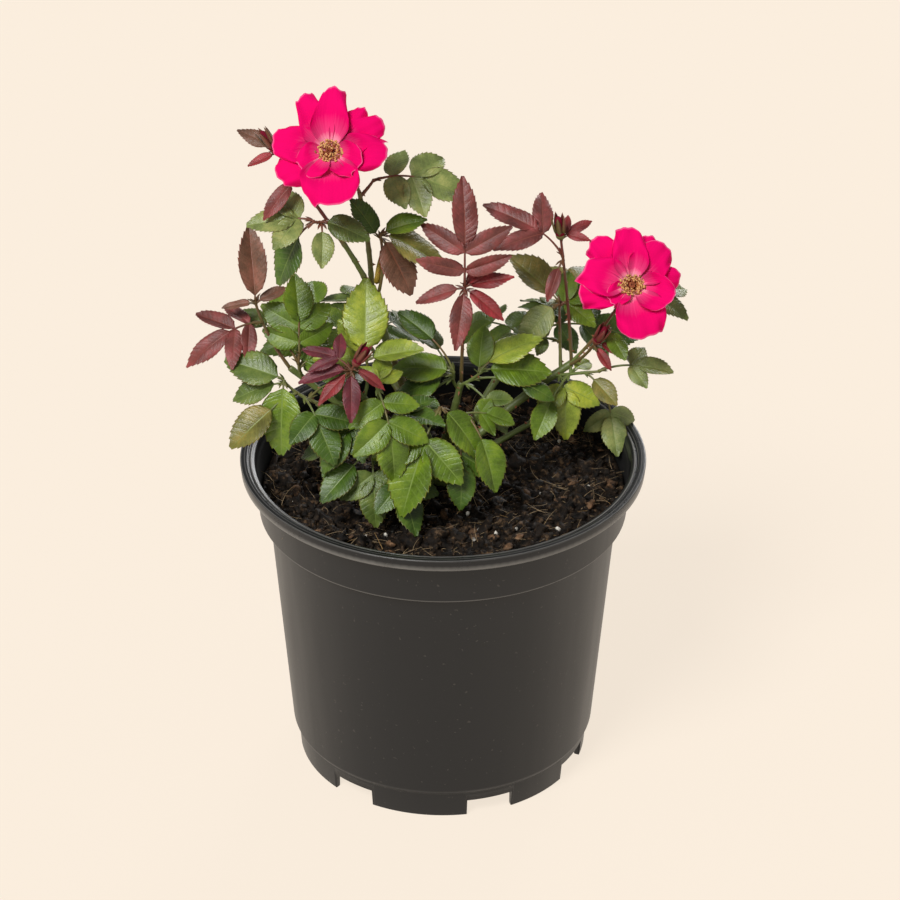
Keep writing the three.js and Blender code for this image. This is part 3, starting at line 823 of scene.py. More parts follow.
def bump(graph, height, strength, distance):
    """A normal from a height: where it is one, the surface looks the distance higher, in metres."""
    sockets = {"Height": height, "Strength": strength, "Distance": distance}
    return graph.add("ShaderNodeBump", None, sockets)


# The height in metres from which young bark is redder than its mean
FLUSH_HEIGHT = 0.34


def bark_finish(name, green, flush, warmth, rise=0.0):
    """Young bark: green, flushed with red in patches, redder further up, with fine raised specks."""

    def build(graph):
        places = object_places(graph)
        warm = (graph.part(places, "Z") - FLUSH_HEIGHT) * rise + (warmth - 0.5)
        patches = graph.between(graph.noise(places, scale=26.0) + warm, 0.4, 0.62)
        specks = graph.noise(places, scale=900.0, detail=2.0)
        tone = graph.mix(patches, linear(green), linear(flush))
        dark = graph.mix(specks * 0.35, tone, linear(shaded(green, 0.35)))
        return {
            "Base Color": dark,
            "Roughness": specks * 0.2 + 0.38,
            "Normal": bump(graph, specks, strength=0.35, distance=0.0004),
        }

    return new_finish(name, green, 0.5, build)


def leaf_finish(name, colour, rib, roughness):
    """A leaf's waxy face: fine side veins that run to its teeth, a network between them, mottling."""

    def build(graph):
        places = object_places(graph)
        pattern = graph.add("ShaderNodeUVMap", {"uv_map": "Pattern"})
        # One side vein to each tooth, near the tooth's end
        veins = graph.peak(graph.maths("FRACT", graph.part(pattern, "Y") * LEAF_TEETH), 0.76, 0.16)
        cells = graph.stretched(pattern, (24.0, 34.0, 1.0))
        network = graph.noise(cells, scale=1.0, detail=3.0, roughness=0.6)
        patches = graph.noise(places, scale=75.0, detail=4.0, roughness=0.6)
        light = (colour[0] * 1.8, colour[1] * 1.5, colour[2] * 1.7)
        mottle = patches * 0.75 + network * 0.25
        tone = graph.ramp(mottle, (0.36, shaded(colour, 0.55)), (0.5, tuple(colour[:3])), (0.64, light))
        grain = graph.noise(places, scale=1500.0, detail=2.0)
        return {
            "Base Color": graph.mix(veins * 0.3, tone, linear(rib)),
            "Roughness": grain * 0.16 + network * 0.14 + (roughness - 0.13),
            "Normal": bump(graph, network * 1.2 + patches - veins * 0.35, strength=0.32, distance=0.0008),
        }

    return new_finish(name, colour, roughness, build)


def petal_finish(name, colour, rim, base):
    """Silky petal: pale at its base and on its thin rim, with fine veins that fan out, and painted shade
    along its lower sides where the neighbours overlap it.
    """

    def build(graph):
        places = graph.add("ShaderNodeUVMap", {"uv_map": "Pattern"})
        long = graph.part(places, "Y")
        # Painted shade: deeper along both sides of the petal's lower half, where the neighbours overlap it
        fold = (1 - graph.peak(graph.part(places, "X"), 0.5, 0.5)) * graph.peak(long, 0.4, 0.36)
        veins = graph.noise(graph.stretched(places, (34.0, 1.4, 1.0)), scale=1.0, detail=2.0)
        blotch = graph.noise(places, scale=3.2, detail=2.0)
        # The veins and blotches darken the colour, and so does the painted shade
        veins_blotch_and_shade = veins * 0.25 + blotch * 0.25 + fold * 0.7
        deep = graph.mix(veins_blotch_and_shade, linear(colour), linear(shaded(colour, 0.5)))
        flush = graph.between(long + (veins - 0.5) * 0.3, 0.12, 0.58, 1, 0)
        soft = graph.mix(flush * 0.4, deep, linear(rim))
        foot = graph.between(long + (veins - 0.5) * 0.12, 0.12, 0.3, 1, 0)
        edge = graph.between(long + (blotch - 0.5) * 0.02, 0.97, 0.99)
        pale = graph.mix(edge * 0.6, soft, linear(rim))
        return {
            "Base Color": graph.mix(foot * 0.85, pale, linear(base)),
            "Normal": bump(graph, veins, strength=0.3, distance=0.0005),
        }

    return new_finish(name, colour, 0.9, build, Specular_IOR_Level=0.04)


DUST = (0.3, 0.26, 0.22, 1)
# The near-black of the painted shade on the wall inside the collar
INSIDE_SHADE = (0.0022, 0.0018, 0.0014, 1)
# The pale colour of the pot's painted highlights, and how many rings of them run in each millimetre of the
# rim
HIGHLIGHT_PLASTIC = (0.3, 0.29, 0.27, 1)
RINGS_A_MILLIMETRE = 0.42


def plastic_finish(name, colour, roughness):
    """The pot's moulded plastic: a faint grain, upright flow marks and a little dust, with painted highlights
    on its edges and rim, and painted shade on the wall inside the collar.
    """

    def build(graph):
        places = object_places(graph)
        flow = graph.noise(graph.stretched(places, (60.0, 60.0, 3.0)), scale=1.0, detail=4.0)
        grain = graph.noise(places, scale=1400.0, detail=2.0)
        specks = graph.between(graph.noise(places, scale=330.0, detail=1.0), 0.72, 0.76)
        dusty = graph.mix(specks * 0.12, linear(colour), DUST)
        tone = graph.mix(flow * 0.5, dusty, linear(shaded(colour, 1.35)))
        flat = graph.stretched(places, (1 / MM, 1 / MM, 0.0))
        radius = graph.add("ShaderNodeVectorMath", {"operation": "LENGTH"}, {0: flat}).out("Value")
        height = graph.part(graph.stretched(places, (1 / MM,) * 3), "Z")
        # Painted highlights: thin pale lines where the collar's ledge, the rim's edges and its lip catch the
        # light, and fine rings of them on the rim
        ledge = graph.peak(height, COLLAR_LEDGE_HEIGHT + 0.4, 0.9)
        brim = graph.peak(height, POT_HEIGHT - RIM_FACE + 0.5, 0.8)
        lip = graph.peak(radius, RIM_RADIUS - RIM_BAND - RIM_GROOVE_WIDTH - 0.5, 1.2)
        edge = graph.peak(height, POT_HEIGHT, 1.1) * graph.peak(radius, RIM_RADIUS, 1.1)
        on_rim = graph.maths("GREATER_THAN", radius, COLLAR_TOP_RADIUS + 0.8)
        rings = graph.peak(graph.maths("FRACT", radius * RINGS_A_MILLIMETRE), 0.5, 0.13) * on_rim
        painted_highlights = (ledge + brim * 0.1 + lip + edge * 0.7 + rings * 1.1) * (flow * 0.6 + 0.5)
        # Painted shade: the wall inside the collar, above the ledge, is darkened almost to black where it
        # lies in shade.
        slope = (COLLAR_TOP_RADIUS - COLLAR_RADIUS) / (POT_HEIGHT - RIM_FACE - COLLAR_LEDGE_HEIGHT)
        middle = COLLAR_RADIUS - WALL_THICKNESS / 2 - slope * COLLAR_LEDGE_HEIGHT
        within = graph.maths("LESS_THAN", radius - height * slope, middle)
        within *= graph.maths("GREATER_THAN", height, COLLAR_LEDGE_HEIGHT + 2)
        shaded_within = graph.mix(within * 0.85, tone, INSIDE_SHADE)
        return {
            # Painted highlights on the edges and rim, laid over the tone with its painted shade inside the
            # collar
            "Base Color": graph.mix(painted_highlights * 0.5, shaded_within, HIGHLIGHT_PLASTIC),
            "Roughness": flow * 0.16 + grain * 0.08 + within * 0.35 - on_rim * 0.1 + (roughness - 0.12),
            "Normal": bump(graph, grain * 0.7 + flow * 0.6, strength=0.1, distance=0.0004),
        }

    return new_finish(name, colour, roughness, build, Specular_IOR_Level=0.38)


def earth_finish(name, colour, lightest):
    """Moist potting mix or bark: mottled at random from a tenth of its colour to its lightest, finely rough.
    The darkest patches are partly painted shade in the gaps, and the lightest partly painted highlights.
    """

    def build(graph):
        places = object_places(graph)
        # Random mottle: its darkest stop is partly painted shade in the gaps, and its lightest partly painted
        # highlights
        mottle = graph.ramp(
            graph.noise(places, scale=190.0, detail=6.0, roughness=0.65),
            (0.38, shaded(colour, 0.1)), (0.55, tuple(colour[:3])), (0.7, shaded(colour, lightest)),
        )
        fine = graph.noise(places, scale=1300.0, detail=4.0, roughness=0.7)
        return {
            "Base Color": mottle,
            "Roughness": fine * 0.5 + 0.38,
            "Normal": bump(graph, fine, strength=0.7, distance=0.0008),
        }

    return new_finish(name, colour, 0.75, build, Specular_IOR_Level=0.2)


def node_group(name, inputs):
    """A new tree of geometry nodes with its inputs, each with a type, and one output."""
    tree = bpy.data.node_groups.new(name, "GeometryNodeTree")
    tree.interface.new_socket("Geometry", in_out="INPUT", socket_type="NodeSocketGeometry")
    for label, kind in inputs:
        tree.interface.new_socket(label, in_out="INPUT", socket_type=f"NodeSocket{kind}")
    tree.interface.new_socket("Geometry", in_out="OUTPUT", socket_type="NodeSocketGeometry")
    graph = Graph(tree)
    return graph, graph.add("NodeGroupInput")


def named(graph, name, kind):
    """A value that each point or face brings along."""
    return graph.add("GeometryNodeInputNamedAttribute", {"data_type": kind}, {"Name": name})


def end_tree(graph, instances, finishes):
    """Realizes instances and sets each face's material by the number of its finish."""
    made = graph.add("GeometryNodeRealizeInstances", None, {"Geometry": instances})
    for number, finish in enumerate(finishes):
        chosen = graph.add(
            "FunctionNodeCompare",
            {"data_type": "INT", "operation": "EQUAL"},
            {"A": named(graph, "finish", "INT"), "B": number},
        )
        sockets = {"Geometry": made, "Selection": chosen, "Material": finish}
        made = graph.add("GeometryNodeSetMaterial", None, sockets)
    graph.add("NodeGroupOutput", None, {"Geometry": made})


def picked_shapes(graph, given):
    """The shapes of a tree's collection, each to be picked by itself."""
    sockets = {"Collection": given.out("Shapes"), "Separate Children": True, "Reset Children": True}
    return graph.add("GeometryNodeCollectionInfo", None, sockets)


def placed_tree(name, finishes):
    """Sets shapes of a collection at given points, each turned and sized by the point's own values."""
    graph, given = node_group(name, [("Shapes", "Collection"), ("Size", "Float")])
    size = graph.add(
        "ShaderNodeVectorMath",
        {"operation": "SCALE"},
        {"Vector": named(graph, "size", "FLOAT_VECTOR"), "Scale": given.out("Size")},
    )
    instances = graph.add("GeometryNodeInstanceOnPoints", None, {
        "Points": given.out("Geometry"),
        "Instance": picked_shapes(graph, given),
        "Pick Instance": True,
        "Instance Index": named(graph, "kind", "INT"),
        "Rotation": named(graph, "turn", "FLOAT_VECTOR"),
        "Scale": size,
    })
    end_tree(graph, instances, finishes)
    return graph.tree


def strewn_tree(name, finishes):
    """Strews shapes of a collection over a surface, turned and sized by chance."""
    inputs = [
        ("Shapes", "Collection"), ("Density", "Float"), ("Seed", "Int"),
        ("Smallest", "Float"), ("Largest", "Float"), ("Lift", "Float"),
    ]
    graph, given = node_group(name, inputs)
    points = graph.add(
        "GeometryNodeDistributePointsOnFaces",
        {"distribute_method": "RANDOM"},
        {"Mesh": given.out("Geometry"), "Density": given.out("Density"), "Seed": given.out("Seed")},
    )
    turn = graph.add(
        "FunctionNodeRandomValue",
        {"data_type": "FLOAT_VECTOR"},
        {"Min": (-0.5, -0.5, 0.0), "Max": (0.5, 0.5, 6.28), "Seed": given.out("Seed")},
    )
    size = graph.add(
        "FunctionNodeRandomValue",
        {"data_type": "FLOAT"},
        {"Min": given.out("Smallest"), "Max": given.out("Largest"), "Seed": given.out("Seed")},
    )
    instances = graph.add("GeometryNodeInstanceOnPoints", None, {
        "Points": points,
        "Instance": picked_shapes(graph, given),
        "Pick Instance": True,
        "Rotation": turn,
        "Scale": size.out("Value"),
    })
    lifted = graph.add("ShaderNodeCombineXYZ", None, {"Z": given.out("Lift")})
    raised = graph.add(
        "GeometryNodeTranslateInstances",
        None,
        {"Instances": instances, "Translation": lifted, "Local Space": False},
    )
    end_tree(graph, raised, finishes)
    return graph.tree


def grown(name, base, tree, values):
    """What a tree makes of a base object, as a plain piece without the modifier."""
    modifier = base.modifiers.new("Grow", "NODES")
    modifier.node_group = tree
    for item in tree.interface.items_tree:
        if item.in_out == "INPUT" and item.name in values:
            modifier[item.identifier] = values[item.name]
    depsgraph = bpy.context.evaluated_depsgraph_get()
    mesh = bpy.data.meshes.new_from_object(base.evaluated_get(depsgraph), depsgraph=depsgraph)
    base.modifiers.remove(modifier)
    for extra in ("turn", "size", "kind", "finish"):
        if extra in mesh.attributes:
            mesh.attributes.remove(mesh.attributes[extra])
    if not mesh.polygons:
        raise RuntimeError(f"{name}: the tree made nothing")
    mesh.name = name
    mesh.shade_smooth()
    return show(name, mesh)


def collection_of(name, shapes, finishes):
    """A collection of helper objects, one unit long, that a tree picks its shapes from."""
    group = bpy.data.collections.new(name)
    bpy.context.scene.collection.children.link(group)
    for number, shape in enumerate(shapes):
        mesh = shape.mesh(f"{name}_{number:02d}", finishes, scale=1.0, attribute="finish")
        group.objects.link(bpy.data.objects.new(mesh.name, mesh))
    return group


def clear_collection(group):
    """Removes a collection and its helper objects."""
    for helper in list(group.objects):
        remove(helper)
    bpy.data.collections.remove(group)


def placed(name, places, shapes, finishes):
    """A piece of many shapes: each place holds a point, a turn, a size and a kind."""
    mesh = bpy.data.meshes.new(name + "_points")
    mesh.from_pydata([tuple(point * MM) for point, _, _, _ in places], [], [])
    for column, label in ((1, "turn"), (2, "size")):
        values = [part for row in places for part in row[column]]
        mesh.attributes.new(label, "FLOAT_VECTOR", "POINT").data.foreach_set("vector", values)
    kinds = [kind for _, _, _, kind in places]
    mesh.attributes.new("kind", "INT", "POINT").data.foreach_set("value", kinds)
    base = show(name + "_points", mesh)
    group = collection_of(name + "_shapes", shapes, finishes)
    tree = placed_tree(name + "_tree", finishes)
    piece = grown(name, base, tree, {"Shapes": group, "Size": 1.0})
    remove(base)
    clear_collection(group)
    return piece


def strewn(name, surface, shapes, finishes, values):
    """A piece of many shapes strewn over a surface by chance."""
    group = collection_of(name + "_shapes", shapes, finishes)
    tree = strewn_tree(name + "_tree", finishes)
    piece = grown(name, surface, tree, {"Shapes": group, **values})
    clear_collection(group)
    return piece


LEAF_TEETH = 11
LEAF_COLUMNS = (0.0, 0.04, 0.4, 0.74, 0.94, 1.0)
LEAF_SWEEP = 0.15
LEAF_KINDS = 8
LEAF_QUILT = 0.002
LEAF_DEPTH = 0.014
# The places of a leaflet's finishes in the list of them
FACE, UNDERSIDE, RIB, MARGIN = range(4)
# Each tooth's rows, from its notch to its tip: share of its length, swell of the outline, rise
TOOTH_ROWS = ((0.0, 0.96, 0.8), (0.68, 1.02, -0.8), (0.8, 1.045, -1.0))


def leaflet_shape(seed):
    """A leaflet one unit long and wide: toothed, quilted between its veins, folded and arched."""
    roll = dice(seed)
    arch, fold, curl = 0.08 + 0.22 * roll(), 0.1 + 0.3 * roll(), 0.2 + 0.3 * roll()
    lean, wave, phase = 0.08 * (roll() - 0.5), 0.012 + 0.02 * roll(), 6.28 * roll()
    shape = Shape()

    def place(column, share, swell, rise, under=0.0):
        # Half the width: widest a little below the middle, and drawn in to a point at the end
        half = 0.5 * math.sin(math.pi * share**0.86) ** 0.62 * (1 - 0.4 * share**6) * swell
        middle = share - LEAF_SWEEP * math.sin(math.pi * share)
        edge = share + (0.024 if swell > 1 else -0.006)
        part = abs(column)
        x = math.copysign(part * half, column)
        y = middle + (edge - middle) * part**1.2
        raised = LEAF_QUILT * rise * math.sin(math.pi * part**1.3)
        rippled = wave * math.sin(9 * share + phase + (2 if column > 0 else 0)) * part**2
        z = fold * abs(x) - curl * x * x - arch * y * y + raised + rippled - under
        return (x + lean * y * y, y, z)

    columns = [-c for c in reversed(LEAF_COLUMNS[1:])] + list(LEAF_COLUMNS)
    last = len(columns) - 2
    rib = (last // 2, last // 2 + 1)
    tops, unders = [], []
    for tooth in range(LEAF_TEETH):
        for step, swell, rise in TOOTH_ROWS[1 if tooth == 0 else 0:]:
            share = (tooth + step) / LEAF_TEETH
            top = []
            for column in columns:
                top.append(shape.corner(place(column, share, swell, rise), (0.5 + column / 2, share)))
            under = [shape.corner(place(part, share, swell, rise, LEAF_DEPTH)) for part in (-0.45, 0, 0.45)]
            tops.append(top)
            unders.append([top[0], *under, top[-1]])
    for near, far in zip(tops, tops[1:]):
        for k in range(last + 1):
            finish = RIB if k in rib else MARGIN if k in (0, last) else FACE
            shape.face([near[k], near[k + 1], far[k + 1], far[k]], finish)
    shape.rows(unders, UNDERSIDE)
    for end, top, under in ((0.0, tops[0], unders[0]), (1.0, tops[-1], unders[-1])):
        point = shape.corner((lean * end, end, -arch * end * end), (0.5, end))
        for k in range(last + 1):
            shape.face([point, top[k], top[k + 1]], RIB if k in rib else FACE)
        for k in range(len(under) - 1):
            shape.face([point, under[k], under[k + 1]], UNDERSIDE)
    return shape


# How far the small horns on a bloom's petals stand out, in shares of a petal's length
PETAL_TIPS = {"bloom_left": 0.08, "bloom_right": 0.025}
PETAL_THICKNESS = 0.32
PETAL_COLUMNS, PETAL_ROWS = 24, 22
# Where a petal's foot lies from the bloom's middle: outwards, and upwards where it is steep
PETAL_FOOT, PETAL_FOOT_RISE = 1.5, 2.4
# How much longer and wider the petals are made, to make up for their ruffles and curl
PETAL_LONGER, PETAL_WIDER = 1.01, 1.03


def turn_of(side, along, face):
    """The Euler turn that lays X, Y and Z along three directions."""
    return tuple(Matrix((side, along, face)).transposed().to_euler())


def petal_rows(shape, middle, axis, along, lift, length, width, tips, roll):
    """One petal: narrow at its foot, broad and round at its end, with a notched and rolled rim."""
    face = across(axis, along)
    side = along.cross(face)
    arch, reflex = 0.05 + 0.07 * roll(), 0.16 + 0.16 * roll()
    cup, ruffle, phase = 0.16 + 1.1 * math.sin(lift) + 0.1 * roll(), 0.02 + 0.025 * roll(), 6.28 * roll()
    notch, skew = 0.07 * roll(), 0.7 * (roll() - 0.5)
    horn, horn_at = tips * (0.4 + 0.6 * roll()), math.copysign(0.3 + 0.3 * roll(), roll() - 0.5)
    round_off = 0.95 + 0.25 * roll()
    taper = 4.5 * tips * max(0.0, along.z)
    sag = 0.9 * math.sin(lift)

    def place(column, share, under):
        part = 2 * column / PETAL_COLUMNS - 1
        # Half the width grows from the foot, and the taper draws the end in again.
        spread = math.sin(math.pi / 2 * min(1, share / 0.76)) ** 1.35
        half = width / 2 * (0.15 + 0.85 * spread) * (1 + 0.02 * math.sin(9 * share + phase))
        half *= 1 - taper * (max(0.0, share - 0.5) / 0.5) ** 1.5
        # The outline of the end: round, with two small horns, a notch and fine waves
        peak = hump(part, horn_at, 0.1)
        top = 0.58 + 0.42 * math.cos(math.pi / 2 * part) ** round_off
        top += horn * (peak + 0.6 * hump(part, -horn_at, 0.1)) - notch * hump(part, skew, 0.2)
        top += 0.008 * math.sin(19 * part + phase)
        # The height over the petal's plane: arched, cupped and ruffled, with its rim rolled back
        rim = max(0.0, share - 0.68) / 0.32
        height = arch * math.sin(math.pi * share**0.8) - sag * (share - share * share)
        height += cup * part * part * share * (1 - 0.6 * share) * width / length
        height += ruffle * math.sin(5.5 * part + phase) * share**2
        height += 0.4 * ruffle * math.sin(15 * part - phase) * share**4
        height -= reflex * rim**2 * (0.3 + 0.5 * part * part + 1.1 * peak)
        out = side * (half * math.sin(math.pi / 2 * part))
        return middle + along * (share * top * length) + out + face * (height * length - under)

    def corner(column, share, under=0.0):
        return shape.corner(place(column, share, under), (column / PETAL_COLUMNS, share))

    fronts, backs = [], []
    for row in range(PETAL_ROWS + 1):
        share = row / PETAL_ROWS
        front = [corner(k, share) for k in range(PETAL_COLUMNS + 1)]
        back = [corner(k, share, PETAL_THICKNESS) for k in range(1, PETAL_COLUMNS)]
        fronts.append(front)
        backs.append([front[0], *back, front[-1]])
    shape.rows(fronts)
    shape.rows(backs, 1)
    for front, back in ((fronts[0], backs[0]), (fronts[-1], backs[-1])):
        for k in range(PETAL_COLUMNS):
            corners = [front[k], front[k + 1], back[k + 1], back[k]]
            shape.face(list(dict.fromkeys(corners)), 1)


def bloom_frame(bloom):
    """A bloom's middle, the way it faces, and its upward and rightward directions."""
    axis = Vector(bloom["facing"]).normalized()
    up = across(Vector((0, 0, 1)), axis)
    return Vector(bloom["centre"]), axis, up, up.cross(axis)


def petals_shape(bloom, tips, seed):
    """A bloom's petals round its eye."""
    middle, axis, up, right = bloom_frame(bloom)
    roll = dice(seed)
    shape = Shape()
    for angle, length, width, lift in bloom["petals"]:
        turn, pitch = math.radians(angle), math.radians(lift)
        along = spoke(spoke(right, up, turn), axis, pitch)
        foot = middle + along * PETAL_FOOT + axis * (PETAL_FOOT_RISE * math.sin(pitch))
        length, width = length * PETAL_LONGER, width * PETAL_WIDER
        petal_rows(shape, foot, axis, along, pitch, length, width, tips, roll)
    return shape


BLADE_DEPTH = 0.5


def blade_strip(shape, start, along, face, length, width, droop, finish=0, rows=6):
    """A slim pointed blade such as a sepal or stipule, closed and a little hollow."""
    side = along.cross(face)
    tops, unders = [], []
    for row in range(1, rows):
        share = row / rows
        half = width / 2 * math.sin(math.pi * (0.18 + 0.82 * share)) ** 0.9
        line = start + along * (share * length) - face * (droop * length * share * share)
        left, right = (shape.corner(line + side * (half * k) + face * (half * 0.35)) for k in (-1, 1))
        tops.append([left, shape.corner(line), right])
        unders.append([left, shape.corner(line - face * BLADE_DEPTH), right])
    foot = shape.corner(start)
    tip = shape.corner(start + along * length - face * (droop * length))
    shape.rows(tops, finish)
    shape.rows(unders, finish)
    for point, top, under in ((foot, tops[0], unders[0]), (tip, tops[-1], unders[-1])):
        for row in (top, under):
            for k in range(2):
                shape.face([point, row[k], row[k + 1]], finish)


# The rings of a prickle one unit long: height, and half its width across the cane and along it
THORN_RINGS = ((-0.15, 0.3, 0.62), (0.2, 0.2, 0.4), (0.55, 0.1, 0.2), (0.85, 0.04, 0.07))


def thorn_shape():
    """A prickle one unit long: broad at its foot and hooked down."""
    shape = Shape()
    rings = []
    for height, wide, long in THORN_RINGS:
        back = 0.3 * max(0, height) ** 1.5
        rings.append([
            shape.corner((wide * math.cos(turn), long * math.sin(turn) - back, height))
            for turn in turns(6)
        ])
    shape.rows(rings, closed=True)
    shape.fan(shape.corner((0, 0, -0.16)), rings[0])
    shape.fan(shape.corner((0, -0.34, 1)), rings[-1])
    return shape


def clod_shape(seed, flat, rough, rings=5, sides=8):
    """A rough lump one unit across: a crumb of peat, a chip of bark or a white grain."""
    roll = dice(seed)
    offset = Vector((roll(), roll(), roll())) * 20
    long, wide = 0.42 + 0.16 * roll(), 0.3 + 0.14 * roll()
    shape = Shape()

    def place(turn, tilt):
        out = Vector((math.cos(turn) * math.sin(tilt), math.sin(turn) * math.sin(tilt), math.cos(tilt)))
        dent = 1 + rough * noise.noise(out * 1.7 + offset) + 0.4 * rough * noise.noise(out * 4 + offset)
        return (out.x * long * dent, out.y * wide * dent, out.z * flat * dent)

    rows = [
        [shape.corner(place(turn, math.pi * ring / rings)) for turn in turns(sides)]
        for ring in range(1, rings)
    ]
    shape.rows(rows, closed=True)
    shape.fan(shape.corner(place(0, 0)), rows[0])
    shape.fan(shape.corner(place(0, math.pi)), rows[-1])
    return shape


def straw_shape(seed, thickness):
    """A curved fibre one unit long."""
    roll = dice(seed)
    bend = (0.5, 0.5 * (roll() - 0.5), 0.16 * roll())
    shape = Shape()
    end = (1, 0.3 * (roll() - 0.5), 0.05)
    radius = taper(thickness, 0.4 * thickness)
    shape.tube(Curve((0, 0, 0), bend, end), radius, sides=4, steps=7)
    return shape


# A pollen sac's radius and half its length, in shares of its thread's length
SAC_RADII = (0.095, 0.16)


def stamen_shape(seed, sac):
    """A thread one unit long with its pollen sac across the tip. The sac's finish is told."""
    roll = dice(seed)
    shape = Shape()
    end = Vector((0.12 * (roll() - 0.5), 0.3 * (roll() - 0.2), 0.95))
    shape.tube(Curve((0, 0, 0), (0, -0.05, 0.55), end), taper(0.035, 0.023), sides=4, steps=4)
    across_tip = (1, roll() - 0.5, roll() - 0.5)
    shape.ball(end, across_tip, SAC_RADII, sides=6, steps=5, finish=sac)
    return shape


def rounded(profile, radius=0.9, steps=3):
    """A profile with its corners rounded off."""
    made = [profile[0]]
    for before, here, after in zip(profile, profile[1:], profile[2:]):
        before, here, after = (Vector((*point, 0)) for point in (before, here, after))
        back, ahead = before - here, after - here
        reach = min(radius, back.length * 0.45, ahead.length * 0.45)
        corner = Curve(here + back.normalized() * reach, here, here + ahead.normalized() * reach)
        made += [tuple(corner.point(step / steps).xy) for step in range(steps + 1)]
    return made + [profile[-1]]


def turned_shape(profile, facets):
    """A closed body from a profile of radius and height that starts and ends on the axis."""
    shape = Shape()
    rows = [shape.ring(*point, facets) for point in profile[1:-1]]
    shape.rows(rows, closed=True)
    shape.fan(shape.corner((0, 0, profile[0][1])), rows[0])
    shape.fan(shape.corner((0, 0, profile[-1][1])), rows[-1])
    return shape


def pot_profile():
    """The pot's wall and floor by radius and height, from the middle below to the middle inside."""
    band_inner = RIM_RADIUS - RIM_BAND
    lip_outer = band_inner - RIM_GROOVE_WIDTH
    lip_inner = lip_outer - RIM_LIP_WIDTH
    collar_inner = COLLAR_RADIUS - WALL_THICKNESS
    return rounded([
        (0, FLOOR_UNDERSIDE),
        (FOOT_RADIUS - FOOT_THICKNESS, FLOOR_UNDERSIDE),
        (FOOT_RADIUS - FOOT_THICKNESS, 0),
        (FOOT_RADIUS, 0),
        (FOOT_TOP_RADIUS, FOOT_HEIGHT - FOOT_STEP),
        (WALL_FOOT_RADIUS - FOOT_STEP / 2, FOOT_HEIGHT),
        (WALL_FOOT_RADIUS, FOOT_HEIGHT + FOOT_STEP),
        (WALL_TOP_RADIUS, COLLAR_LEDGE_HEIGHT - 1),
        (COLLAR_RADIUS, COLLAR_LEDGE_HEIGHT),
        (COLLAR_TOP_RADIUS, POT_HEIGHT - RIM_FACE),
        (RIM_UNDERSIDE_RADIUS, POT_HEIGHT - RIM_FACE),
        (RIM_RADIUS, POT_HEIGHT),
        (band_inner, POT_HEIGHT),
        (band_inner, POT_HEIGHT - RIM_GROOVE_DEPTH),
        (lip_outer, POT_HEIGHT - RIM_GROOVE_DEPTH),
        (lip_outer, POT_HEIGHT - RIM_GROOVE_DEPTH / 2),
        (lip_inner, POT_HEIGHT - RIM_GROOVE_DEPTH),
        (COLLAR_RADIUS, POT_HEIGHT - RIM_FACE),
        (collar_inner, COLLAR_LEDGE_HEIGHT + WALL_THICKNESS),
        (WALL_TOP_RADIUS - WALL_THICKNESS, COLLAR_LEDGE_HEIGHT),
        (WALL_FOOT_RADIUS - WALL_THICKNESS, FOOT_HEIGHT),
        (WALL_FOOT_RADIUS - WALL_THICKNESS - FOOT_STEP, FLOOR_TOP),
        (0, FLOOR_TOP),
    ])


def cut_notches(piece):
    """Cuts the drain notches through the pot's foot ring."""
    half = FOOT_RADIUS * math.sin(math.radians(NOTCH_SWEEP / 2))
    reach = 2 * FOOT_THICKNESS
    shape = Shape()
    for angle in NOTCH_ANGLES:
        turn = Matrix.Rotation(math.radians(angle), 3, "Z")
        rows = []
        for height in (-NOTCH_HEIGHT, NOTCH_HEIGHT):
            flat = ((-half, -reach), (half, -reach), (half, reach), (-half, reach))
            rows.append([shape.corner(turn @ Vector((x, y - FOOT_RADIUS, height))) for x, y in flat])
        shape.rows(rows, closed=True)
        for row in rows:
            shape.face(row)
    cutter = shape.piece("notch_cutter", [])
    cut = piece.modifiers.new("Notches", "BOOLEAN")
    cut.operation, cut.solver, cut.object = "DIFFERENCE", "EXACT", cutter
    depsgraph = bpy.context.evaluated_depsgraph_get()
    mesh = bpy.data.meshes.new_from_object(piece.evaluated_get(depsgraph), depsgraph=depsgraph)
    piece.modifiers.remove(cut)
    piece.data = mesh
    remove(cutter)


# The soil's hollows and its clods: how far they stand out and how wide they are
HOLLOW_DEPTH, HOLLOW_WIDTH = 3.4, 34
CLOD_HEIGHT, CLOD_WIDTH = 1.9, 7
SOIL_SINK = 1.2


def soil_height(x, y):
    """The height of the soil's surface, with its hollows and clods."""
    place = Vector((x, y, 0))
    hollows = HOLLOW_DEPTH * noise.fractal(place / HOLLOW_WIDTH, 1.0, 2.0, 3)
    clods = CLOD_HEIGHT * noise.fractal(place / CLOD_WIDTH + Vector((9, 4, 2)), 0.9, 2.1, 4)
    return SOIL_LEVEL + (hollows + clods - SOIL_SINK)


def soil_shape(facets=200, rings=92):
    """The filled soil body: a rough surface, and sides a hair inside the pot's wall."""
    gap = WALL_THICKNESS + CLEARANCE
    top = COLLAR_RADIUS - gap
    shape = Shape()
    sides = [
        (WALL_FOOT_RADIUS - gap - FOOT_STEP, FLOOR_TOP + CLEARANCE),
        (WALL_FOOT_RADIUS - gap, FOOT_HEIGHT + CLEARANCE),
        (WALL_TOP_RADIUS - gap, COLLAR_LEDGE_HEIGHT),
        (top, COLLAR_LEDGE_HEIGHT + WALL_THICKNESS + CLEARANCE),
    ]
    rows = [shape.ring(*point, facets) for point in sides]
    rows += [shape.ring(top * (1 - ring / rings), soil_height, facets) for ring in range(rings)]
    shape.rows(rows, closed=True)
    shape.fan(shape.corner((0, 0, FLOOR_TOP + CLEARANCE)), rows[0])
    shape.fan(shape.corner((0, 0, soil_height(0, 0))), rows[-1])
    return shape


CANE_JOINTS = 4.5


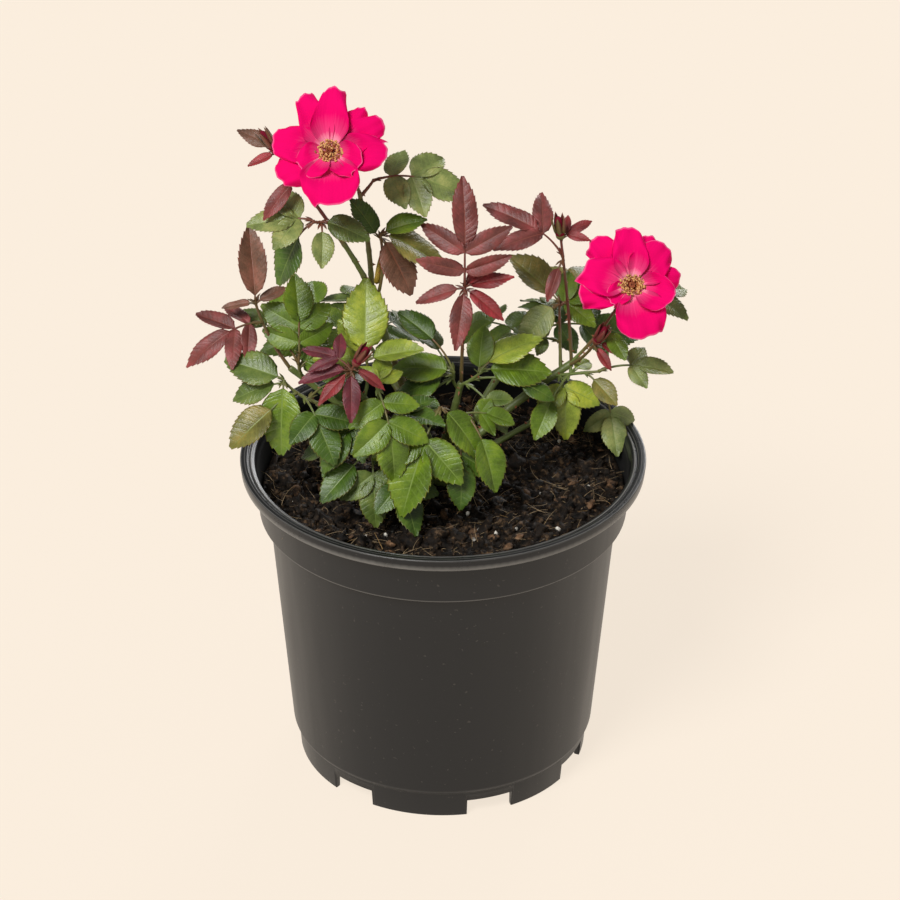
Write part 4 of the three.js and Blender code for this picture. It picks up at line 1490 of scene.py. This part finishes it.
def cane_relief(seed, height):
    """Swollen joints and low ridges along a cane."""
    offset = Vector((seed * 3.1, 0, 0))

    def relief(angle, share):
        joint = hump((share * CANE_JOINTS + seed * 0.37) % 1, 0.5, 0.09)
        ridges = noise.noise(Vector((2 * math.cos(angle), 2 * math.sin(angle), share * 9)) + offset)
        return height * (joint + 0.6 * ridges)

    return relief


def colour_property(name, description, default):
    """A colour that a user may change."""
    return bpy.props.FloatVectorProperty(
        name=name, description=description, default=default, subtype="COLOR", size=3, min=0.0, max=1.0
    )


def number_property(name, description, default, **kind):
    """A number that a user may change, with its unit or subtype where one fits."""
    return bpy.props.FloatProperty(name=name, description=description, default=default, **kind)


def length_property(name, description, default):
    """A length in metres."""
    return number_property(name, description, default, min=0.0, unit="LENGTH")


def angle_property(name, description, degrees):
    """An angle, given in degrees."""
    return number_property(name, description, math.radians(degrees), subtype="ANGLE")


def direction_property(name, description, default):
    """A direction from the middle of the bush."""
    return bpy.props.FloatVectorProperty(
        name=name, description=description, default=default, subtype="DIRECTION"
    )


def count_property(name, description, default, least=0):
    """A whole number."""
    return bpy.props.IntProperty(name=name, description=description, default=default, min=least)


class RoseStageSettings(bpy.types.PropertyGroup):
    floor_colour: colour_property("Floor", "Colour that the floor shows", (0.956, 0.847, 0.723))
    floor_glow: number_property("Floor glow", "Share of the floor's colour that shadows leave", 0.88)
    lens: number_property("Lens", "Focal length", 128.0, unit="CAMERA")
    distance: length_property("Distance", "From the camera to the middle of the bush", 2.206)
    elevation: angle_property("Elevation", "How far the camera looks down", 30.4)
    roll: angle_property("Roll", "Turn of the camera about its view", 0.22)
    target: bpy.props.FloatVectorProperty(
        name="Target", description="What the camera looks at", default=(0.0047, 0.0, 0.2363), unit="LENGTH"
    )
    sun: number_property("Sun", "Strength of the broad light above", 3.0)
    sun_from: direction_property("Sun from", "Where the broad light comes from", (-0.35, -0.55, 0.76))
    sun_width: angle_property("Sun width", "How soft the shadows are", 22)
    fill: number_property("Fill", "Strength of the light from behind", 0.9)
    fill_from: direction_property("Fill from", "Where the light from behind comes from", (0.3, 0.85, 0.3))
    sky: number_property("Sky", "Strength of the light all round", 0.27)


class RosePotSettings(bpy.types.PropertyGroup):
    colour: colour_property("Plastic", "Colour of the pot", (0.005, 0.0054, 0.0064))
    roughness: number_property("Roughness", "Of the pot's plastic", 0.4)
    facets: count_property("Facets", "Round the pot", 160, least=24)


class RoseSoilSettings(bpy.types.PropertyGroup):
    colour: colour_property("Soil", "Colour of the moist potting mix", (0.016, 0.0096, 0.005))
    bark_colour: colour_property("Bark chips", "Colour of the chips in the mix", (0.12, 0.066, 0.034))
    density: number_property("Crumbs", "Crumbs for each square metre", 36000.0)
    smallest: length_property("Smallest crumb", "Length of the smallest crumb", 0.003)
    largest: length_property("Largest crumb", "Length of the largest crumb", 0.0095)
    seed: count_property("Seed", "Changes where the crumbs fall", 4)


class RosePlantSettings(bpy.types.PropertyGroup):
    petal: colour_property("Petals", "Colour of the petals", (0.88, 0.002, 0.145))
    petal_rim: colour_property("Petal rims", "Colour of the petals' thin rims", (0.96, 0.17, 0.4))
    petal_base: colour_property("Petal bases", "Colour of the petals at the eye", (0.98, 0.5, 0.58))
    bud: colour_property("Buds", "Colour of the closed petals of a bud", (0.2, 0.012, 0.03))
    deep: colour_property("Deep leaves", "Colour of the oldest leaves", (0.05, 0.104, 0.008))
    blue: colour_property("Blue-green leaves", "Colour of the cool leaves", (0.1, 0.15, 0.028))
    # The pale tint is painted light: a lighter copy of the leaf green for the leaves that the light falls on
    pale: colour_property("Pale leaves", "Colour of the leaves that the light falls on", (0.2, 0.25, 0.07))
    fresh: colour_property("Fresh leaves", "Colour of the full-grown leaves", (0.105, 0.18, 0.01))
    bright: colour_property("Bright leaves", "Colour of the youngest green leaves", (0.23, 0.3, 0.028))
    olive: colour_property("Olive leaves", "Colour of the leaves that turn green", (0.165, 0.155, 0.032))
    bronze: colour_property("Bronze leaves", "Colour of half-grown red leaves", (0.155, 0.072, 0.042))
    plum: colour_property("Plum leaves", "Colour of the dark new leaves", (0.165, 0.038, 0.032))
    wine: colour_property("Wine leaves", "Colour of the leaves beside the lowest bud", (0.12, 0.018, 0.028))
    red: colour_property("Red leaves", "Colour of the newest leaves", (0.22, 0.022, 0.024))
    gloss: number_property("Leaf roughness", "Lower is glossier", 0.3)
    cane_green: colour_property("Cane", "Colour of the young bark", (0.13, 0.17, 0.04))
    cane_red: colour_property("Flush", "Colour of the flushed bark", (0.18, 0.05, 0.028))
    thorn_gap: length_property("Thorn gap", "Mean way between thorns along a cane", 0.011)
    stamens: count_property("Stamens", "In each bloom", 130, least=10)


@functools.cache
def bush_plan():
    """The plan of the bush, worked out once."""
    return Plan()


# The floor's reach from its middle in metres, the sensor's width in millimetres, and the sky's white
FLOOR_REACH = 12
SENSOR_WIDTH = 36
SKY_COLOUR = (1.0, 0.98, 0.95, 1)


class ROSE_OT_stage(bpy.types.Operator):
    """Set up the floor, the soft light and the camera"""

    bl_idname = "rose.stage"
    bl_label = "Stage"

    def execute(self, context):
        settings = context.scene.rose_stage
        self.floor(settings)
        self.camera(context, settings)
        world = bpy.data.worlds.new("Studio")
        world.use_nodes = True
        background = world.node_tree.nodes["Background"]
        background.inputs["Color"].default_value = SKY_COLOUR
        background.inputs["Strength"].default_value = settings.sky
        context.scene.world = world
        context.scene.view_settings.view_transform = "Standard"
        self.light(context, "Sun", settings.sun, settings.sun_width, settings.sun_from)
        self.light(context, "Fill", settings.fill, settings.sun_width, settings.fill_from)
        return {"FINISHED"}

    def floor(self, settings):
        """A plain pale floor that the shadows fall on softly."""
        edit = bmesh.new()
        bmesh.ops.create_grid(edit, x_segments=1, y_segments=1, size=FLOOR_REACH)
        mesh = bpy.data.meshes.new("floor")
        edit.to_mesh(mesh)
        edit.free()
        glow = settings.floor_glow
        mesh.materials.append(new_finish(
            "floor", shaded(settings.floor_colour, 1 - glow), 0.9, Specular_IOR_Level=0.0,
            Emission_Color=linear(settings.floor_colour), Emission_Strength=glow,
        ))
        show("floor", mesh)

    def camera(self, context, settings):
        """The camera, from the front and above."""
        data = bpy.data.cameras.new("Camera")
        data.lens, data.sensor_width = settings.lens, SENSOR_WIDTH
        camera = bpy.data.objects.new("Camera", data)
        target, tilt = Vector(settings.target), settings.elevation
        back = Vector((0, -math.cos(tilt), math.sin(tilt)))
        camera.location = target + back * settings.distance
        turn = back.to_track_quat("Z", "Y").to_matrix() @ Matrix.Rotation(settings.roll, 3, "Z")
        camera.rotation_euler = turn.to_euler()
        context.scene.collection.objects.link(camera)
        context.scene.camera = camera

    def light(self, context, name, strength, width, source):
        """A broad light from far away."""
        data = bpy.data.lights.new(name, "SUN")
        data.energy, data.angle = strength, width
        lamp = bpy.data.objects.new(name, data)
        lamp.rotation_euler = Vector(source).to_track_quat("Z", "Y").to_euler()
        context.scene.collection.objects.link(lamp)


class ROSE_OT_pot(bpy.types.Operator):
    """Build the nursery pot with its rolled rim, collar and notched foot"""

    bl_idname = "rose.pot"
    bl_label = "Pot"

    def execute(self, context):
        settings = context.scene.rose_pot
        finish = plastic_finish("pot_plastic", settings.colour, settings.roughness)
        piece = turned_shape(pot_profile(), settings.facets).piece("nursery_pot", [finish])
        cut_notches(piece)
        piece.data.shade_smooth()
        finish_piece(piece, "pot", "pot")
        return {"FINISHED"}


# The fibres' thickness in shares of their length, and how far crumbs stay from the wall
STRAW_THICKNESS, ROOT_THICKNESS = 0.02, 0.013
CRUMB_GAP = 4.5


class ROSE_OT_soil(bpy.types.Operator):
    """Fill the pot with potting mix: crumbs, bark chips, white grains and fibres"""

    bl_idname = "rose.soil"
    bl_label = "Soil"

    def execute(self, context):
        settings = context.scene.rose_soil
        # The mix's lightest mottle, nine times its colour, is partly painted highlights
        earth = earth_finish("potting_mix", settings.colour, 9.0)
        bark = earth_finish("bark_chips", settings.bark_colour, 2.6)
        white = earth_finish("white_grains", (0.7, 0.66, 0.58), 1.3)
        straw = new_finish("straw", (0.34, 0.2, 0.07), 0.7)
        root = new_finish("dry_roots", (0.34, 0.24, 0.13), 0.7)
        finish_piece(soil_shape().piece("soil_body", [earth]), "soil", "soil")
        surface = self.surface()
        crumbs = [clod_shape(CLOD_SEED + k, flat=0.34, rough=1.1) for k in range(7)]
        chips = [clod_shape(CHIP_SEED + k, flat=0.16, rough=0.5) for k in range(5)]
        grains = [clod_shape(GRAIN_SEED + k, flat=0.42, rough=0.4, rings=4, sides=6) for k in range(4)]
        straws = [straw_shape(STRAW_SEED + k, STRAW_THICKNESS) for k in range(6)]
        roots = [straw_shape(ROOT_SEED + k, ROOT_THICKNESS) for k in range(6)]
        smallest, largest = settings.smallest, settings.largest
        # Each row: shapes, finish, share of the crumbs' density, smallest and largest, and lift
        rows = {
            "soil_crumbs": (crumbs, earth, 1, smallest, largest, 0.0002),
            "soil_fines": (crumbs[:3], earth, 1.3, smallest * 0.4, smallest, 0.0006),
            "bark_chips": (chips, bark, 0.04, largest * 0.5, largest * 1.1, 0.0016),
            "white_grains": (grains, white, 0.018, 0.0012, 0.0042, 0.0016),
            "straw_fibres": (straws, straw, 0.05, 0.004, 0.014, 0.0018),
            "dry_roots": (roots, root, 0.42, 0.005, 0.018, 0.0014),
            "soil_clods": (crumbs, earth, 0.06, largest * 0.9, largest * 1.7, 0.001),
            "bark_lumps": (crumbs[2:], bark, 0.018, largest * 0.8, largest * 1.15, 0.002),
        }
        for seed, (name, row) in enumerate(rows.items(), settings.seed):
            shapes, finish, share, small, large, lift = row
            values = {
                "Density": settings.density * share, "Seed": seed,
                "Smallest": small, "Largest": large, "Lift": lift,
            }
            finish_piece(strewn(name, surface, shapes, [finish], values), "soil")
        remove(surface)
        return {"FINISHED"}

    def surface(self):
        """The part of the soil's surface that crumbs may lie on."""
        shape = Shape()
        reach = COLLAR_RADIUS - WALL_THICKNESS - CRUMB_GAP
        rows = [shape.ring(reach * ring / 40, soil_height, 80) for ring in range(1, 41)]
        shape.rows(rows, closed=True)
        return shape.piece("soil_surface", [])


# The places of the twigs' finishes in the list of them
GREEN_BARK, YOUNG_BARK, BRACT_BARK = range(3)
STIPULE_LENGTH, STIPULE_WIDTH = 7.0, 2.2
# The dry sheath: its place by the cane's tip, and the heading, rise and length of its blades
BRACT_OFFSET = Vector((3, -3, 8))
BRACT_BLADES = ((0, 78, 23), (40, 64, 19), (-60, 68, 15))
BRACT_WIDTH = 5.6
# The shares of a cane's length that thorns stand between
THORNY_STRETCH = (0.12, 0.94)


class ROSE_OT_canes(bpy.types.Operator):
    """Grow the crown stem, the canes with their thorns, and the twigs and stalks"""

    bl_idname = "rose.canes"
    bl_label = "Canes, twigs and thorns"

    def execute(self, context):
        settings = context.scene.rose_plant
        green, red = settings.cane_green, settings.cane_red
        bark = bark_finish("cane_bark", green, red, 0.46, 1.0)
        twig = bark_finish("green_twig", shaded(green, 1.1), red, 0.5, 1.6)
        young = bark_finish("red_twig", (0.14, 0.1, 0.032), (0.16, 0.028, 0.022), 0.52, 5.0)
        bract = bark_finish("bract", (0.52, 0.36, 0.05), (0.3, 0.12, 0.02), 0.44)
        thorn = new_finish("thorn", (0.26, 0.09, 0.035), 0.4)
        plan = bush_plan()
        canes = Shape()
        stem_relief = cane_relief(3, height=0.9)
        canes.tube(plan.curves["crown_stem"], taper(*STEM_RADII), sides=28, steps=18, relief=stem_relief)
        for seed, (name, bough) in enumerate(BOUGHS.items()):
            relief = cane_relief(seed, height=0.28)
            canes.tube(plan.curves[name], taper(*bough["radii"]), sides=14, steps=60, relief=relief)
        finish_piece(canes.piece("canes", [bark]), "cane", "crown_stem", *BOUGHS)
        twigs = Shape()
        for name, mass in MASSES.items():
            finish = YOUNG_BARK if mass.get("young") else GREEN_BARK
            relief = cane_relief(len(name), height=0.16)
            twigs.tube(plan.curves[name], taper(*TWIG_SHOWN), sides=9, steps=24, finish=finish, relief=relief)
        for name, curve in plan.stalks:
            finish = YOUNG_BARK if MASSES[name].get("young") else GREEN_BARK
            twigs.tube(curve, self.stalk_radius, sides=6, steps=12, finish=finish)
            self.stipules(twigs, curve, finish)
        self.bract(twigs, plan.curves["cane_left"])
        finish_piece(twigs.piece("twigs", [twig, young, bract]), "cane", *MASSES)
        points = self.thorn_points(plan, settings.thorn_gap / MM)
        finish_piece(placed("thorns", points, [thorn_shape()], [thorn]), "cane")
        return {"FINISHED"}

    def stalk_radius(self, share):
        """A leaf stalk's radius: swollen at its foot and slimmer towards its end."""
        return 0.95 - 0.35 * share + 0.5 * math.exp(-share * 14)

    def bract(self, shape, cane):
        """The dry sheath of three curled blades beside the fork of the left cane."""
        start = cane.point(1) + BRACT_OFFSET
        for heading, rise, length in BRACT_BLADES:
            along = bearing(heading, rise)
            face = across(Vector((0.3, -1, 0.2)), along)
            blade_strip(shape, start, along, face, length, BRACT_WIDTH, 0.28, BRACT_BARK)

    def stipules(self, shape, curve, finish):
        """The two small pointed wings at a stalk's foot."""
        ahead = curve.tangent(0)
        up = Vector((0, 0, 1))
        upright = abs(ahead.z) >= 0.98
        side = ahead.orthogonal() if upright else across(up, ahead).cross(ahead)
        for turn in (1, -1):
            along = (ahead + side * (0.5 * turn)).normalized()
            face = across(up + ahead.orthogonal() * 0.1, along)
            start = curve.point(0.02)
            blade_strip(shape, start, along, face, STIPULE_LENGTH, STIPULE_WIDTH, 0.15, finish, rows=4)

    def thorn_points(self, plan, gap):
        """Points round each cane and stem, with the turn that stands a thorn out of it."""
        points = []
        limbs = [(plan.curves[name], bough["radii"], gap) for name, bough in BOUGHS.items()]
        limbs += [(plan.curves[name], TWIG_SHOWN, gap * 0.8) for name in MASSES]
        for seed, (curve, radii, way) in enumerate(limbs, THORN_SEED):
            roll = dice(seed)
            radius_at = taper(*radii)
            length = curve.length()
            share, last = THORNY_STRETCH
            while share < last:
                ahead = curve.tangent(share)
                side = ahead.orthogonal().normalized()
                out = spoke(side, ahead.cross(side), 6.28 * roll())
                radius = radius_at(share)
                size = (1.6 + 1.9 * roll()) * MM * (0.55 + 0.15 * radius)
                # A thorn's own Y runs up the cane, so that its hook points down.
                turn = turn_of(ahead.cross(out), ahead, out)
                points.append((curve.point(share) + out * (radius - 0.1), turn, (size, size, size), 0))
                share += way * (0.5 + 1.1 * roll()) / length
        return points


YOUNG_TINTS = ("bronze", "plum", "wine", "red")
# A leaflet's width and length in shares of its plain blade's
LEAF_WIDER, YOUNG_LEAF_WIDER, LEAF_LONGER = 1.1, 0.96, 1.04
# From one leaflet's kind to the next one's, so that neighbours differ
LEAF_KIND_STEP = 5


class ROSE_OT_leaves(bpy.types.Operator):
    """Grow the leaflets, one piece for each tint"""

    bl_idname = "rose.leaves"
    bl_label = "Leaves"

    def execute(self, context):
        settings = context.scene.rose_plant
        shapes = [leaflet_shape(LEAFLET_SEED + k) for k in range(LEAF_KINDS)]
        sprays = {}
        for number, (name, index, root, along, face, length, width) in enumerate(bush_plan().blades):
            tints = SPRAY_TINTS[name]
            wide = YOUNG_LEAF_WIDER if MASSES[name].get("young") else LEAF_WIDER
            size = (width * MM * wide, length * MM * LEAF_LONGER, length * MM)
            kind = number * LEAF_KIND_STEP % LEAF_KINDS
            row = (root, turn_of(along.cross(face), along, face), size, kind)
            sprays.setdefault(tints[index % len(tints)], []).append(row)
        for tint, rows in sprays.items():
            young = tint in YOUNG_TINTS
            piece = placed(f"leaves_{tint}", rows, shapes, self.finishes(settings, tint, young))
            finish_piece(piece, "young_leaf" if young else "leaf")
        return {"FINISHED"}

    def finishes(self, settings, tint, young):
        """The finishes of a leaf's face, underside, midrib and margin."""
        colour = tuple(getattr(settings, tint))
        pale = (0.16, 0.07, 0.05) if young else (0.15, 0.2, 0.09)
        rib = (0.24, 0.07, 0.04) if young else (0.22, 0.29, 0.07)
        flush = (0.3, 0.03, 0.02) if young else (0.2, 0.12, 0.02)
        roughness = settings.gloss + (0.1 if young else 0)
        return [
            leaf_finish(f"{tint}_face", colour, mixed(colour, rib, 0.5), roughness),
            new_finish(f"{tint}_underside", mixed(colour, pale, 0.55), 0.6),
            new_finish(f"{tint}_ribs", mixed(colour, rib, 0.45), 0.42),
            new_finish(f"{tint}_margin", mixed(colour, flush, 0.4), 0.36),
        ]


GOLDEN_TURN = 0.618
STAMEN_KINDS = 4
STYLES = 26
SEPALS = 5
# The places of the heart's and the buds' finishes in the lists of them
SEPAL, HEART, STIGMA = range(3)
BUD_PETAL = 1
# The radius and half the length of a bloom's heart, its hip, a style and a bud's hip
HEART_RADII, HIP_RADII, STYLE_RADII, BUD_HIP_RADII = (2.6, 3.2), (4.3, 7.0), (0.45, 1.6), (3.3, 3.8)
SEPAL_LENGTH, SEPAL_WIDTH = 20, 6.5
BUD_SEPAL_LENGTH, BUD_SEPAL_WIDTH = 15.5, 4.6


class ROSE_OT_blooms(bpy.types.Operator):
    """Open the two blooms, with their stamens and sepals, and set the buds"""

    bl_idname = "rose.blooms"
    bl_label = "Blooms and buds"

    def execute(self, context):
        settings = context.scene.rose_plant
        petal = petal_finish("petal", settings.petal, settings.petal_rim, settings.petal_base)
        bud = petal_finish("bud_petal", settings.bud, shaded(settings.bud, 1.6), shaded(settings.bud, 0.8))
        sepal = bark_finish("sepal", (0.12, 0.12, 0.03), (0.2, 0.03, 0.03), 0.52)
        heart = new_finish("heart", (0.2, 0.03, 0.015), 0.6)
        stigma = new_finish("stigma", (0.42, 0.12, 0.05), 0.6)
        for seed, (name, tips) in enumerate(PETAL_TIPS.items()):
            bloom = MASSES[name]["bloom"]
            petals = petals_shape(bloom, tips, seed + PETAL_SEED)
            finish_piece(petals.piece(f"petals_{name}", [petal]), "petal")
            finish_piece(self.stamens(settings, name, bloom, seed + STAMEN_SEED), "petal")
            finish_piece(self.heart(name, bloom, [sepal, heart, stigma]), "petal")
        self.buds(sepal, bud)
        return {"FINISHED"}

    def stamens(self, settings, name, bloom, seed):
        """The ring of threads round a bloom's eye, the outer ones longer and leaning out."""
        middle, axis, up, right = bloom_frame(bloom)
        roll = dice(seed)
        thread = new_finish(f"thread_{name}", (0.8, 0.34, 0.12), 0.5)
        pollen = new_finish(f"pollen_{name}", (0.62, 0.33, 0.12), 0.7)
        spent = new_finish(f"spent_pollen_{name}", (0.3, 0.1, 0.035), 0.7)
        rows = []
        for number in range(settings.stamens):
            turn = 2 * math.pi * (number * GOLDEN_TURN + 0.06 * roll())
            ring = roll() ** 0.6
            out = right * math.cos(turn) + up * (0.74 * math.sin(turn))
            foot = middle + axis * 1.6 + out * 2.6
            end = middle + axis * (6.8 - 2.2 * ring + 2.2 * roll()) + out * (2.4 + 7 * ring)
            along = (end - foot).normalized()
            side = across(out.cross(axis), along)
            length = (end - foot).length * MM
            row = (foot, turn_of(side, along.cross(side), along), (length, length, length))
            rows.append((*row, number % STAMEN_KINDS))
        # Three kinds have full pollen sacs, and the last has a spent one.
        shapes = [stamen_shape(seed + 4 + k, 1 + k // 3) for k in range(STAMEN_KINDS)]
        return placed(f"stamens_{name}", rows, shapes, [thread, pollen, spent])

    def heart(self, name, bloom, finishes):
        """The styles in the middle, and the hip and sepals behind the petals."""
        middle, axis, up, right = bloom_frame(bloom)
        shape = Shape()
        shape.ball(middle + axis * 3, axis, HEART_RADII, sides=14, steps=8, finish=HEART)
        roll = dice(STYLE_SEED)
        for number in range(STYLES):
            turn, out = number * 2.4, 0.4 + 1.7 * (number / STYLES) ** 0.5
            foot = middle + axis * 5 + spoke(right, up, turn) * out
            end = foot + axis * (2.2 + roll())
            shape.ball((foot + end) / 2, axis, STYLE_RADII, sides=6, steps=5, finish=STIGMA)
        shape.ball(middle - axis * 5.5, axis, HIP_RADII, sides=14, steps=10, finish=SEPAL)
        for number in range(SEPALS):
            turn = 2 * math.pi * (number / SEPALS + 0.06)
            out = spoke(right, up, turn)
            along = (out - axis * 0.35).normalized()
            start = middle - axis * 1.5 + out * 2
            blade_strip(shape, start, along, across(axis, along), SEPAL_LENGTH, SEPAL_WIDTH, 0.3, SEPAL)
        return shape.piece(f"heart_{name}", finishes)

    def bud_swell(self, share):
        """A bud's radius along its length: fullest near its foot, and pointed."""
        return math.sin(math.pi * share**0.85) ** 0.8 * (1 - 0.25 * share)

    def buds(self, sepal, bud):
        """Closed buds: wrapped petals held by long pointed sepals."""
        shape = Shape()
        for name, mass in MASSES.items():
            if not mass.get("bud"):
                continue
            stem = bush_plan().curves[name]
            end, axis = stem.point(1), stem.tangent(1)
            middle, radii = end + axis * (BUD_LENGTH * 0.44), (BUD_RADIUS * 0.86, BUD_LENGTH / 2)
            shape.ball(middle, axis, radii, sides=14, steps=12, finish=BUD_PETAL, swell=self.bud_swell)
            shape.ball(end + axis * 0.6, axis, BUD_HIP_RADII, sides=14, steps=8, finish=SEPAL)
            side = axis.orthogonal().normalized()
            for number, turn in enumerate(turns(SEPALS)):
                out = spoke(side, axis.cross(side), turn)
                along = (axis + out * 0.2).normalized()
                face = across(-out, along)
                start = end + axis * 1.4 + out * 3.1
                length, droop = BUD_SEPAL_LENGTH + number % 3, -0.12 - 0.05 * (number % 2)
                blade_strip(shape, start, along, face, length, BUD_SEPAL_WIDTH, droop, SEPAL)
        finish_piece(shape.piece("buds", [sepal, bud]), "young_leaf")


class ROSE_PT_panel(bpy.types.Panel):
    """Lists the steps that build the bush"""

    bl_label = "Rose Bush"
    bl_idname = "ROSE_PT_panel"
    bl_space_type = "VIEW_3D"
    bl_region_type = "UI"
    bl_category = "Rose Bush"

    def draw(self, context):
        for step in STEPS:
            self.layout.operator(step.bl_idname)


STEPS = (ROSE_OT_stage, ROSE_OT_pot, ROSE_OT_soil, ROSE_OT_canes, ROSE_OT_leaves, ROSE_OT_blooms)
SETTINGS = {
    "rose_stage": RoseStageSettings,
    "rose_pot": RosePotSettings,
    "rose_soil": RoseSoilSettings,
    "rose_plant": RosePlantSettings,
}


def register():
    """Registers the classes and gives the scene its settings."""
    for kind in (*SETTINGS.values(), *STEPS, ROSE_PT_panel):
        bpy.utils.register_class(kind)
    for name, kind in SETTINGS.items():
        setattr(bpy.types.Scene, name, bpy.props.PointerProperty(type=kind))


def unregister():
    """Takes the settings and the classes back."""
    for name in SETTINGS:
        delattr(bpy.types.Scene, name)
    for kind in reversed((*SETTINGS.values(), *STEPS, ROSE_PT_panel)):
        bpy.utils.unregister_class(kind)


def main():
    """Builds the stage and the bush."""
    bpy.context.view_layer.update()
    register()
    bpy.ops.rose.stage()
    bpy.ops.rose.pot()
    bpy.ops.rose.soil()
    bpy.ops.rose.canes()
    bpy.ops.rose.leaves()
    bpy.ops.rose.blooms()
    bpy.context.view_layer.update()


if __name__ == "__main__":
    main()
